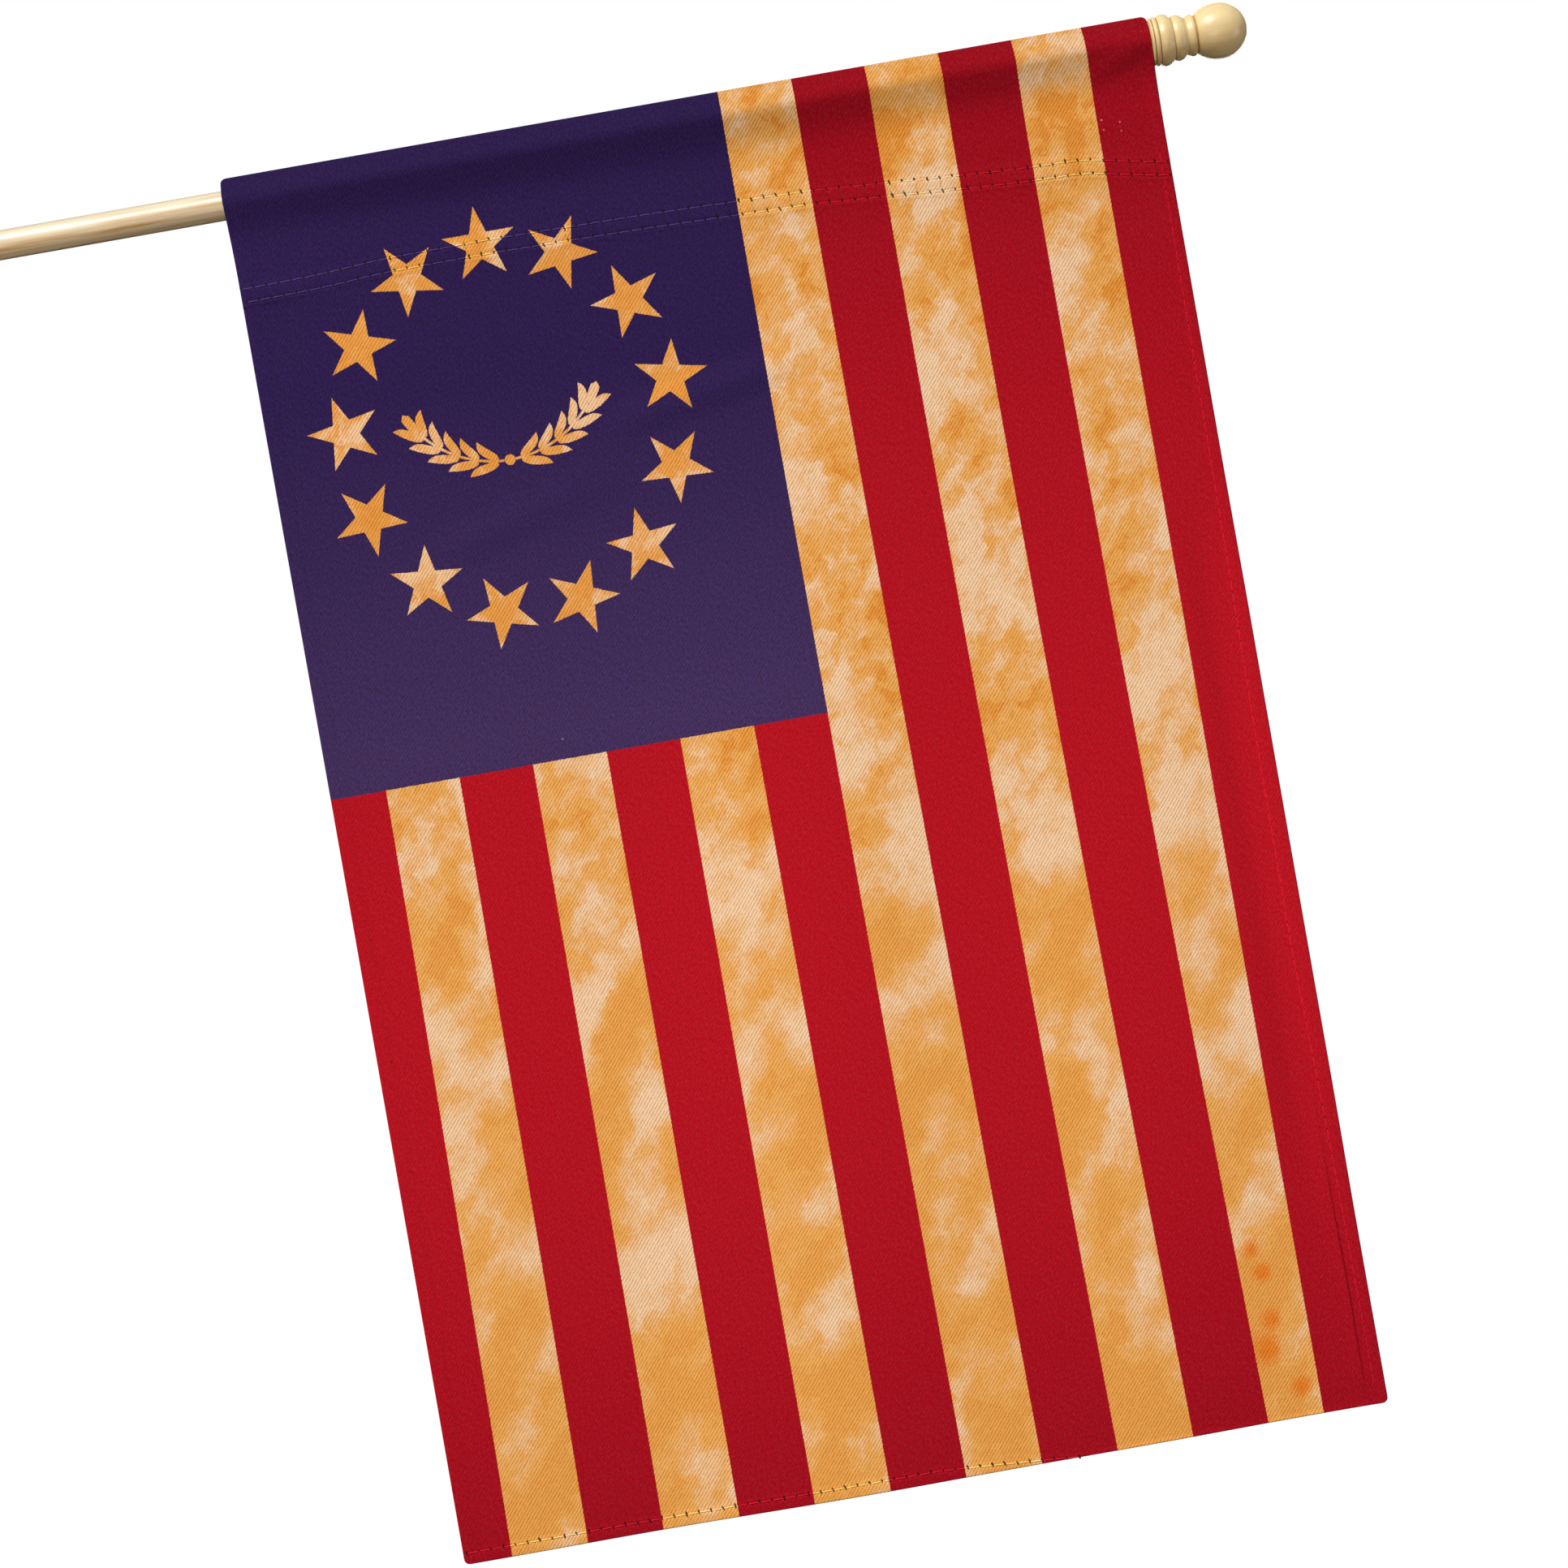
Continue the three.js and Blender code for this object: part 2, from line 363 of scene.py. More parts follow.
def twill_group(name):
    """Slanted ribs of the weave, with the short floats of its yarns and a mask of the grooves between ribs,
    where shade is painted.
    """
    inputs = ["Along", "Depth", "Pitch", "Angle"]
    tree, given, give = make_group(name, inputs, ["Height", "Groove", "Fleck", "Cool Fleck"])
    along, depth, pitch, angle = (given[key] for key in inputs)
    across = along * angle.sine() + depth * angle.cosine()
    length = along * angle.cosine() - depth * angle.sine()
    wander = noise(tree, across * 0.25, length * 0.05, 3.0) - 0.5
    rib = across / pitch + wander * 0.5
    crest = (rib * 2).zigzag()
    floats_per_pitch = 1.1
    float_step = length / pitch * floats_per_pitch + rib.nearest() * 0.5
    yarn = (float_step * 2).zigzag()
    patchy = noise(tree, across * 0.7, length * 0.35, 0.0)
    fleck = noise(tree, across * 0.9, length * 0.4, 8.0, roughness=0.7)
    give("Height", crest * 0.75 + yarn * 0.25)
    give("Groove", crest.between(0.46, 0.04) * patchy.between(0.22, 0.60))
    give("Fleck", fleck)
    give("Cool Fleck", patchy)
    return tree


def ridge_group(name):
    """Height of the soft ridges that the hanging cloth keeps, in millimetres."""
    tree, given, give = make_group(name, ["Along", "Depth"], ["Height"])
    fade = 25
    height = 0.0
    for start, end, rise, half_width in SOFT_RIDGES:
        run = Vector(end) - Vector(start)
        length = run.length
        run = run.normalized()
        right = given["Along"] - start[0]
        down = given["Depth"] - start[1]
        reach = right * run.x + down * run.y
        off_line = (down * run.x - right * run.y).size()
        window = reach.between(-fade, fade) * reach.between(length + fade, length - fade)
        height = off_line.between(half_width, 0) * window * rise + height
    give("Height", height)
    return tree


def star_ring(layout, along, depth):
    """Distance inside the nearest star of the ring, in millimetres."""
    tip_step = math.tau / 5
    half_tip = math.radians(18)
    step = math.tau / layout.stars
    right = along - layout.ring_along
    down = depth - layout.ring_depth
    turn = (right / layout.ring_width).maths("ARCTAN2", down / -layout.ring_height)
    star_turn = (turn / step).nearest() * step
    right = right - star_turn.sine() * layout.ring_width
    down = down + star_turn.cosine() * layout.ring_height

    # Within the star, all half tips are folded onto one
    radius = distance(right, down)
    own_turn = right.maths("ARCTAN2", down * -1) - star_turn
    folded = (own_turn - (own_turn / tip_step).nearest() * tip_step).size()
    outward = (radius * folded.cosine() - layout.star) * math.sin(half_tip)
    return (outward + radius * folded.sine() * math.cos(half_tip)) * -1


def leaf_spray(layout, along, depth):
    """Distance inside a garland of two leafy branches that rise from a small knot."""
    scale = 0.88
    knot_along = layout.ring_along - 5.4
    knot_depth = layout.ring_depth + 24.0
    knot_radius = 4.6
    bow_radius = 94.0
    stem_half_width = 1.1
    stem_start = 5.0
    stem_past_leaf = 6.0
    leaf_step = 17.0
    leaf_count = 5
    first_leaf = 12.0
    leaf_length = 25.0
    leaf_width = 4.5
    last_length = 26.0
    lean = math.radians(38)

    # Place along the bow of the two branches, which mirror each other, and distance from their stem
    right = (along - knot_along) / scale
    down = (depth - knot_depth) / scale + bow_radius
    radius = distance(right, down)
    run = right.size().maths("ARCTAN2", down) * bow_radius
    off_stem = (radius - bow_radius).size()

    # Leaves lean outwards in pairs
    along_leaf = off_stem / math.sin(lean)
    start = run - off_stem / math.tan(lean) - first_leaf
    index = (start / leaf_step).nearest().most(0).least(leaf_count - 1)
    across_leaf = ((start - index * leaf_step) * math.sin(lean)).size()
    share = (along_leaf / leaf_length).least(1.0)
    half_width = (share.power(0.75) * math.pi).sine() * leaf_width
    leaf = (half_width - across_leaf).least((1.0 - along_leaf / leaf_length) * leaf_length)

    # The last leaf lies on the stem's end
    tip_run = run - first_leaf - leaf_step * (leaf_count - 1)
    last_leaf = (leaf_width * 0.9 - off_stem).least(tip_run - stem_past_leaf)
    last_leaf = last_leaf.least(last_length - tip_run - off_stem)
    stem = (stem_half_width - off_stem).least(run - stem_start).least(stem_past_leaf - tip_run)
    knot = knot_radius - distance(right, down - bow_radius)
    return leaf.most(stem).most(knot).most(last_leaf) * scale


def tea_stain(tree, along, depth, calm):
    """Paleness of the stain: broad clouds whose rims are broken into dabs, and calmer lower down."""
    wander_reach = 22
    lean = 0.25
    wander_along, wander_down = (
        (noise(tree, along * 0.07, depth * 0.07, seed) - 0.5) * wander_reach
        for seed in (11.0, 31.0)
    )
    dab_along = along + wander_along + depth * lean
    dab_depth = depth + wander_down
    broad = noise(tree, dab_along * 0.019, dab_depth * 0.011, 2.0, detail=1.0)
    dabs = noise(tree, dab_along * 0.062, dab_depth * 0.048, 5.0)
    fine = noise(tree, dab_along * 0.16, dab_depth * 0.12, 9.0, roughness=0.6)
    spots = fine.between(0.58, 0.72) * 0.10
    clouds = broad * (calm * 0.16 + 0.52) + dabs * (calm * -0.20 + 0.42)
    return clouds + (fine * 0.20 - spots) * (calm * -0.5 + 1.0) + calm * 0.052 - 0.06


def print_outline(layout, along, depth):
    """Distances inside the pale stripes and inside the canton, in millimetres."""
    fan_start = 184.6
    fan_reach = 830.5
    stripes_left_of_fan = 4
    stripes_to_canton_edge = 2
    fan = ((depth - fan_start) / fan_reach).most(0).power(1.6) * layout.fan
    stripe = fan + layout.stripe
    stripe_count = (along - layout.fan_centre) / stripe + stripes_left_of_fan
    in_stripe = ((stripe_count + 0.5).zigzag() - 0.5) * stripe
    canton_edge = stripe * stripes_to_canton_edge + layout.fan_centre
    in_canton = (canton_edge - along).least(layout.canton_depth - depth)
    return in_stripe.least(layout.last_edge - along), in_canton


def tea_inks(tree, layout, along, depth, ragged, from_middle):
    """Colours of the pale stripes, with their rusty spots, and of the stars and leaves."""
    # The stains are calmer in the lower half and a little paler on the sleeve, and painted light makes them a
    # little paler at half height
    calm = depth.between(430, 680)
    pale = tea_stain(tree, along, depth, calm)
    pale = pale + (0.5 - from_middle) * 0.05 + depth.between(150, 40) * 0.015 + 0.005

    usual = pale.between(0.40, 0.475).most(calm * 0.62)
    stripes = blend_colours(tree, usual, layout.tea_deep, layout.tea)
    stripes = blend_colours(tree, pale.between(0.475, 0.64), stripes, layout.tea_pale)
    for spot_along, spot_depth, radius in RUST_SPOTS:
        frayed = distance(along - spot_along, depth - spot_depth) / radius + ragged + (pale - 0.5) * 1.6
        stripes = blend_colours(tree, frayed.between(1.0, 0.1) * 0.85, stripes, layout.rust)

    motifs = blend_colours(tree, pale.between(0.30, 0.70, soft=False), layout.tea_deep, layout.tea)
    motifs = blend_colours(tree, pale.between(0.50, 0.62) * 0.75, motifs, layout.tea_pale)
    return stripes, motifs


def print_and_light_group(name, layout):
    """The printed design: stripes, canton, stars and leaf spray, with tea stains, and painted light and shade
    over them.
    """
    tree, given, give = make_group(name, ["Along", "Depth"], ["Colour", "Tea", "Navy"], colours=["Colour"])

    # The print's edges are ragged by up to half a millimetre
    ragged, ragged_too = (
        noise(tree, given["Along"], given["Depth"], seed, detail=1.0, scale=0.75) - 0.5
        for seed in (0.0, 40.0)
    )
    along = given["Along"] + ragged
    depth = given["Depth"] + ragged_too
    in_tea, in_canton = print_outline(layout, along, depth)
    in_motif = star_ring(layout, along, depth).most(leaf_spray(layout, along, depth))
    edge = 0.25
    tea_mask, canton_mask, motif_mask = (
        inside.between(-edge, edge)
        for inside in (in_tea, in_canton, in_motif)
    )

    # Painted light makes the red brightest at half height, and painted sheen makes the navy paler towards its
    # lower edge
    middle_depth = 585
    middle_reach = 520
    from_middle = ((depth - middle_depth) / middle_reach).power(2).least(1.0)
    tea, motif_tea = tea_inks(tree, layout, along, depth, ragged, from_middle)
    red = blend_colours(tree, 1.0 - from_middle, layout.red, layout.red_painted_light)
    navy = blend_colours(tree, depth.between(185, 455, soft=False), layout.navy, layout.navy_painted_sheen)
    stripes = blend_colours(tree, tea_mask, red, tea)
    canton = blend_colours(tree, motif_mask, navy, motif_tea)
    design = blend_colours(tree, canton_mask, stripes, canton)
    lint = (0.75, 0.5, 0.48)
    for speck_along, speck_depth in LINT_SPECKS:
        from_speck = distance(along - speck_along, depth - speck_depth)
        design = blend_colours(tree, from_speck.between(0.9, 0.3) * 0.4, design, lint)

    # Painted shade and light: the sleeve is darker on its upper part and brighter on its lower part than the
    # flag below it
    lower_part = depth.between(32, 56) * 0.23
    light = lower_part + 0.88 - depth.between(64, 84) * 0.10 - depth.between(16, 5) * 0.05
    give("Colour", blend_colours(tree, 1.0, design, vector_of(tree, light, light, light), "MULTIPLY"))
    give("Tea", tea_mask * (1.0 - canton_mask) + motif_mask * canton_mask)
    give("Navy", canton_mask * (1.0 - motif_mask))
    return tree


def grain_group(name):
    """Fibres and growth rings of pale wood that is sawn along X, with painted shade on its lower side."""
    inputs = ["Light", "Grain", "Ring Step", "Ring Mark", "Streak Mark"]
    outputs = ["Colour", "Height", "Streak"]
    tree, given, give = make_group(name, inputs, outputs, colours=["Light", "Grain", "Colour"])
    x, y, z = object_place(tree)
    pith_in_front = 34.0
    pith_above = 12.0
    sway = noise(tree, x * 0.006, y * 0.02, z * 0.02) - 0.5
    from_pith = distance(y + pith_in_front + sway * 16, z - pith_above + sway * 12)
    rings = (from_pith / given["Ring Step"]).maths("FRACT")
    late_wood = rings.between(0.25, 0.85) * rings.between(1.0, 0.88)
    fibres = noise(tree, x * 0.035, y * 1.6, z * 1.6, 3.0, 0.6)
    streaks = noise(tree, x * 0.012, y * 0.35, z * 0.35, 3.0, 0.6)

    # Painted shade: the wood is darker towards its lower side, and its streaks show more there
    painted_underside_shade = z.between(7, -7) * 0.8 + 0.2
    streaky = streaks.between(0.42, 0.68) * given["Streak Mark"] * painted_underside_shade
    strength = late_wood * given["Ring Mark"] + fibres.between(0.4, 0.8) * 0.2 + streaky
    strength = strength + painted_underside_shade * 0.5 - 0.1
    give("Colour", blend_colours(tree, strength.least(1.0), given["Light"], given["Grain"]))
    give("Height", fibres * 0.7 + late_wood * 0.3)
    give("Streak", fibres)
    return tree


def new_material(name, roughness, **constants):
    """A material with a plain shader whose even values are set on its own sockets."""
    material = bpy.data.materials.new(name)
    material.use_nodes = True
    shader = material.node_tree.nodes["Principled BSDF"]
    shader.inputs["Roughness"].default_value = roughness
    for socket_name, value in constants.items():
        shader.inputs[socket_name.replace("_", " ")].default_value = value
    return material, material.node_tree, shader


def add_bump(tree, shader, height, distance_mm, strength=1.0, under=None):
    """Gives a shader a relief, which may lie on another relief."""
    bump = tree.nodes.new("ShaderNodeBump")
    bump.inputs["Distance"].default_value = distance_mm * MM
    bump.inputs["Strength"].default_value = strength
    feed(tree, bump.inputs["Height"], height)
    if under:
        tree.links.new(under.outputs["Normal"], bump.inputs["Normal"])
    tree.links.new(bump.outputs["Normal"], shader.inputs["Normal"])
    return bump


def place_on_flag(tree, place, group, **values):
    """Puts a group into a tree and tells it where its point is on the flag."""
    return place_group(tree, group, along=place["Along"], depth=place["Depth"], **values)


def printed_place(tree, layout):
    """The flag's place and its printed design with painted light and shade, as groups in a material."""
    place = place_group(tree, fetch_group("Flag Place", flag_place_group))
    return place, place_on_flag(tree, place, fetch_group("House Flag Print", print_and_light_group, layout))


def twill_material(sewing, layout):
    """Printed twill with painted shade in the weave's grooves, and ink that is uneven from yarn to yarn."""
    material, tree, shader = new_material("Printed Twill", 0.85, Specular_IOR_Level=0.03)
    place, design = printed_place(tree, layout)
    weave = fetch_group("Twill Weave", twill_group)
    twill = place_on_flag(tree, place, weave, pitch=sewing.twill_pitch, angle=sewing.twill_angle)
    tea, navy = design["Tea"], design["Navy"]
    # Painted shade: the grooves between the ribs darken the print
    groove_shade_tint = (0.62, 0.42, 0.22)
    groove_shade = twill["Groove"] * (tea * 0.5 + 0.5)
    ribbed = blend_colours(tree, groove_shade, design["Colour"], groove_shade_tint, "MULTIPLY")

    # Yarns take the ink unevenly, most of all the navy, and undyed yarn shows in the red
    strength = navy * 1.2 - tea * 0.5 + 1.1
    warm = (twill["Fleck"] - 0.5) * strength + 1.0
    cool = (twill["Cool Fleck"] - 0.5) * strength * 0.8 + 1.0
    yarn_ink = vector_of(tree, warm, (warm + cool) * 0.5, cool)
    uneven = blend_colours(tree, 1.0, ribbed, yarn_ink, "MULTIPLY")
    undyed = (twill["Cool Fleck"] - 0.42).most(0) * (1.0 - tea - navy * 0.6) * 0.033
    uneven = blend_colours(tree, 1.0, uneven, vector_of(tree, undyed, undyed * 0.8, undyed), "ADD")

    # The reverse is a little paler, where the ink has not gone through
    bare_cloth = (0.72, 0.62, 0.5)
    paler = mesh_mark(tree, "reverse") * 0.08
    feed(tree, shader.inputs["Base Color"], blend_colours(tree, paler, uneven, bare_cloth))

    ridges = place_on_flag(tree, place, fetch_group("Soft Ridges", ridge_group))
    broad = add_bump(tree, shader, ridges["Height"], 1.0)
    relief = twill["Height"] * (tea * 0.4 + 0.5) + twill["Fleck"] * 0.5
    add_bump(tree, shader, relief, 0.26, 0.6, broad)
    return material


def thread_material(layout):
    """Thread that takes the print's colour, a little lighter, with a fine twist."""
    material, tree, shader = new_material("Sewing Thread", 0.6, Specular_IOR_Level=0.1)
    place, design = printed_place(tree, layout)
    gain = (1.95, 1.9, 1.9)
    palest = (0.95, 0.76, 0.44)
    navy = design["Navy"]
    veil = vector_of(tree, navy * 0.03 + 0.014, navy * 0.028 + 0.004, navy * 0.055 + 0.012)
    lit = blend_colours(tree, 1.0, design["Colour"], gain, "MULTIPLY")
    lit = blend_colours(tree, 1.0, lit, veil, "ADD")
    feed(tree, shader.inputs["Base Color"], blend_colours(tree, 1.0, lit, palest, "DARKEN"))
    twist = ((place["Along"] + place["Depth"] * 0.6) * 2.4).zigzag()
    add_bump(tree, shader, twist, 0.08)
    return material


def needle_hole_shadow_material(layout):
    """Painted shadows: dark slots with a trace of the print's colour."""
    material, tree, shader = new_material("Needle Hole Shadow", 0.95, Specular_IOR_Level=0.1)
    _, design = printed_place(tree, layout)
    # Painted shadow: the slots are nearly black, as the holes and puckers are in shade
    dark = (0.02, 0.006, 0.008)
    feed(tree, shader.inputs["Base Color"], blend_colours(tree, 0.93, design["Colour"], dark))
    return material


def wood_material(name, roughness, coat, **grain):
    """Varnished pale wood with its own grain, darker in turned grooves."""
    material, tree, shader = new_material(
        name, roughness, Coat_Weight=coat, Coat_Roughness=0.28, Coat_IOR=1.8, Specular_IOR_Level=0.45)
    wood = place_group(tree, fetch_group("Pale Wood Grain", grain_group), **grain)
    # The turned grooves are darker, tinted brown
    groove_tint = (0.62, 0.42, 0.2)
    in_groove = mesh_mark(tree, "groove").least(1.0)
    grooved_wood = blend_colours(tree, in_groove, wood["Colour"], groove_tint, "MULTIPLY")
    feed(tree, shader.inputs["Base Color"], grooved_wood)
    feed(tree, shader.inputs["Roughness"], wood["Streak"] * 0.2 + (roughness - 0.1))
    add_bump(tree, shader, wood["Height"], 0.05, 0.5)
    return material


def smoothstep(low, high, value):
    """0 at low and 1 at high, and soft between them."""
    share = np.clip((value - low) / (high - low), 0.0, 1.0)
    return share * share * (3 - 2 * share)


def ridge(offset, half_width):
    """1 on a line, with a smooth fall to 0 beside it."""
    return np.exp(-((offset / half_width) ** 2))


def seam_depth(along):
    """Depth of the sleeve's upper stitch row, as one smooth line through its measured points."""
    reach = 14.0
    nearby = np.linspace(-reach, reach, 9)
    samples = np.interp(np.asarray(along, float)[..., None] + nearby, *zip(*SEAM_LINE))
    return samples.mean(axis=-1)


def hem_row_height(along, sewing):
    """Height of the bottom hem's stitch row, which runs off the edge towards the right."""
    level_end = 369.0
    edge_reached = 480.0
    return sewing.bottom_hem * (1 - np.clip((along - level_end) / (edge_reached - level_end), 0, 1))


def side_rows(depth):
    """Distance of the left and the right hem's stitch rows from their edges."""
    left = ((60, 16.4), (130, 16.0), (160, 11.8))
    right = ((120, 6.8), (390, 9.2), (560, 11.4), (720, 12.3), (847, 9.9), (920, 9.0), (1040, 8.4))
    return [np.interp(depth, *zip(*line)) for line in (left, right)]


def hang(along, depth):
    """How far the hanging cloth sways and bows towards the back."""
    seam = 85.0
    deepest_bow = 2.0
    broad_sway, broad_length = 2.6, 560
    narrow_sway, narrow_length = 1.1, 250
    curl_back, curl_forward = 2.0, 5.8
    share = np.clip((depth - seam) / (FLAG_LENGTH - seam), 0, 1)
    bow = deepest_bow * 4 * share * (1 - share)
    free = smoothstep(130, 620, depth)
    broad = broad_sway * np.sin(math.tau * along / broad_length + 0.7)
    narrow = narrow_sway * np.sin(math.tau * along / narrow_length + depth / 300)

    # At half height the cloth bends back beside the right edge, which curls forward
    from_right = FLAG_WIDTH - along
    curled = smoothstep(330, 480, depth) * (1 - smoothstep(800, 940, depth))
    curl = curl_back * smoothstep(48, 27, from_right) - curl_forward * smoothstep(30, -6, from_right)
    return bow + free * (broad + narrow) + curled * curl


def side_crease(depth, from_right):
    """The crease beside the right hem, near the bottom."""
    height = 1.5
    slope_length = 8
    beyond = from_right - (15.3 + 0.5 * np.sin(depth / 23))
    crease = smoothstep(-0.8, 0.6, beyond) * np.exp(-np.maximum(beyond, 0) / slope_length)
    return height * crease * smoothstep(800, 960, depth) * (1 - smoothstep(1030, 1060, depth))


def front_relief(along, depth, sewing):
    """How far the front stands proud of the plain sheet: seam, hems and the pull of the stitches."""
    row_reach = 1.3
    side_row_reach = 1.0
    pucker_reach = 9
    pull = 0.34 + 0.16 * np.cos(math.tau * along / sewing.stitch)

    # The sleeve's two rows, the raised band between them and the puckers around them
    from_seam = depth - seam_depth(along)
    from_second = from_seam - sewing.row_gap
    rows = pull * (ridge(from_seam, row_reach) + ridge(from_second, row_reach))
    raised = 0.45 + 0.5 * smoothstep(90, 15, along)
    band = raised * smoothstep(-5, 0.5, from_seam) * (1 - smoothstep(2.4, 5.5, from_second))
    pucker_place = ridge(from_seam, pucker_reach) + ridge(from_second, pucker_reach)
    pucker_wave = along * 0.29 + 1.3 * np.sin(along * 0.071)
    pucker = 0.10 * np.sin(pucker_wave) * pucker_place

    # The bottom hem
    hem_height = hem_row_height(along, sewing)
    from_hem_row = FLAG_LENGTH - depth - hem_height
    hem_row = pull * ridge(from_hem_row, row_reach) * smoothstep(0.5, 3, hem_height)
    hem_band = 0.4 * smoothstep(2.2, -0.8, from_hem_row - 1.2)

    # The side hems
    left_row, right_row = side_rows(depth)
    from_right = FLAG_WIDTH - along
    from_left_row = along - left_row
    from_right_row = from_right - right_row
    left_band = 0.35 * smoothstep(1.5, -1.5, from_left_row)
    right_band = 0.5 * smoothstep(1.8, -1.5, from_right_row)
    side_pull = 0.22 * smoothstep(100, 130, depth)
    side_row = side_pull * (ridge(from_left_row, side_row_reach) + ridge(from_right_row, side_row_reach))
    bands = np.maximum(hem_band, np.maximum(left_band, right_band))
    return band + pucker - rows - hem_row - side_row + bands + side_crease(depth, from_right)


def back_relief(along, depth, sewing):
    """How far the reverse stands proud: the turned hems."""
    hem_thickness = 0.7
    past_row = 2.6

    def hem(from_row, softness):
        return smoothstep(past_row + softness, past_row - softness, from_row)

    left_row, right_row = side_rows(depth)
    sides = np.maximum(hem(along - left_row, 0.5), hem(FLAG_WIDTH - along - right_row, 0.5))
    return hem_thickness * np.maximum(sides, hem(FLAG_LENGTH - depth - sewing.bottom_hem, 0.4))


def back_height(along, depth, sewing):
    """How far the reverse stands out behind the plain sheet: the sleeve's turned edge, then the hems."""
    turned = 1 - smoothstep(2.2, 3.0, depth - seam_depth(along) - sewing.row_gap)
    turned_edge = sewing.cloth + 0.45
    return turned * turned_edge + back_relief(along, depth, sewing) * (1 - turned)


class SleeveSection:
    """The section of the sleeve: a pressed fold, a soft bridge over the pole, and a fall to the seam."""

    fold_radius = 0.2
    bridging = 2.5
    under_tilt = math.radians(20)

    def __init__(self, sewing):
        self.thickness = sewing.cloth
        self.inner = POLE_RADIUS + sewing.ease
        top_lead = FOLD_HEIGHT - self.thickness - self.inner
        lift = (math.hypot(top_lead, self.bridging) - top_lead) / 2
        self.fold_centre = FOLD_HEIGHT - self.fold_radius - self.thickness - lift
        self.fold_tilt = math.asin((self.inner - self.fold_radius) / self.fold_centre)
        self.fall_width, self.fall_start, _, _ = self.ring(-self.under_tilt)

    def ring(self, angle):
        """(inner side, inner height, outer side, outer height) where the cloth faces an angle above level."""
        cosine = math.cos(angle)
        sine = math.sin(angle)
        around_fold = self.fold_radius + self.fold_centre * sine
        lead = around_fold - self.inner
        soft_lead = math.hypot(lead, self.bridging)
        reach = (around_fold + self.inner + soft_lead) / 2
        slope = self.fold_centre * cosine * (1 + lead / soft_lead) / 2
        side = reach * cosine - slope * sine
        height = reach * sine + slope * cosine
        return side, height, side + self.thickness * cosine, height + self.thickness * sine

    def wrap_rows(self):
        """Rings from the fold to below the pole, close together where the cloth turns over the pole."""
        turn = math.radians(14)
        fold_angles = np.radians((90, 74, 60))
        bridge_angles = np.linspace(self.fold_tilt + turn, self.fold_tilt - turn, 9)
        pole_angles = np.linspace(self.fold_tilt - turn, -self.under_tilt, 6)[1:]
        return [self.ring(angle) for angle in (*fold_angles, *bridge_angles, *pole_angles)]

    def fall(self, depth, seam):
        """Inner and outer side of the layer between the pole and the seam."""
        seam_height = FOLD_HEIGHT - seam
        drop = self.fall_start - seam_height
        share = np.clip((self.fall_start - (FOLD_HEIGHT - depth)) / drop, 0, 1)
        exponent = math.tan(self.under_tilt) * drop / self.fall_width
        inner = self.fall_width * (1 - share) ** exponent
        slope = self.fall_width * exponent * np.maximum(1 - share, 1e-6) ** (exponent - 1) / drop
        return inner, inner + self.thickness * np.sqrt(1 + slope**2)


def cloth_columns(sewing):
    """Places of the mesh's columns: four to a stitch, and closer at the side edges and at the crease."""
    edge = [0.0, 0.3, 0.9, 1.8]
    edge_gap = 1.6
    per_stitch = 4
    count = int(round(FLAG_WIDTH / sewing.stitch * per_stitch))
    middle = np.linspace(edge[-1] + edge_gap, FLAG_WIDTH - edge[-1] - edge_gap, count - 2)
    at_crease = FLAG_WIDTH - np.arange(13.6, 18.0, 0.55)
    crease_gap = 0.5
    middle = [place for place in middle if not at_crease[-1] - crease_gap < place < at_crease[0] + crease_gap]
    middle = sorted([*middle, *at_crease])
    return np.array([*edge, *middle, *(FLAG_WIDTH - place for place in reversed(edge))])


def edge_fullness(from_edge):
    """How full the cloth is near its folded edges, which are round."""
    radius = 0.9
    least = 0.25
    inside = np.clip(1 - from_edge / radius, 0, 1)
    return least + (1 - least) * np.sqrt(1 - inside**2)


def sleeve_rows(along, sewing):
    """Rows from the fold to the seam: outer depth, inner depth, and each layer's outer and inner side."""
    section = SleeveSection(sewing)
    flat = np.ones_like(along)
    for inner, inner_height, outer, outer_height in section.wrap_rows():
        layer = (outer * flat, inner * flat)
        yield (FOLD_HEIGHT - outer_height) * flat, (FOLD_HEIGHT - inner_height) * flat, layer, layer

    # From the pole to the seam, whose relief shows half as much on the reverse
    near_seam = [-14, -10, -7, -5, -3.5, -2.4, -1.5, -0.8, 0]
    fall_rows = 9
    back_share = 0.5
    seam = seam_depth(along)
    wrap_end = FOLD_HEIGHT - section.fall_start
    depths = [wrap_end + (seam + near_seam[0] - wrap_end) * (i / fall_rows) for i in range(1, fall_rows)]
    depths += [seam + step for step in near_seam]
    for depth in depths:
        inner, outer = section.fall(depth, seam)
        relief = front_relief(along, depth, sewing)
        yield depth, depth, (outer + relief, inner), (outer + relief * back_share, inner)


def hanging_depths(along):
    """Depths of the rows below the seam, close together at the seam and at the bottom hem."""
    below_seam = [0.8, 1.5, 2.4, 3.5, 5, 6.5, 8, 9, 9.6, 10.3, 11, 11.7, 12.4, 12.9, 13.4, 14.5, 16]
    above_bottom = [16, 13, 12, 11.2, 10.6, 9.9, 9.2, 8.6, 8, 7.2, 5, 3.4, 2.4, 1.6, 0.9, 0.3, 0]
    middle_rows = 34
    seam = seam_depth(along)
    start = seam + below_seam[-1]
    end = FLAG_LENGTH - above_bottom[0]
    depths = [seam + step for step in below_seam]
    depths += [start + (end - start) * (i / middle_rows) for i in range(1, middle_rows)]
    depths += [FLAG_LENGTH - step + 0 * along for step in above_bottom]
    return depths


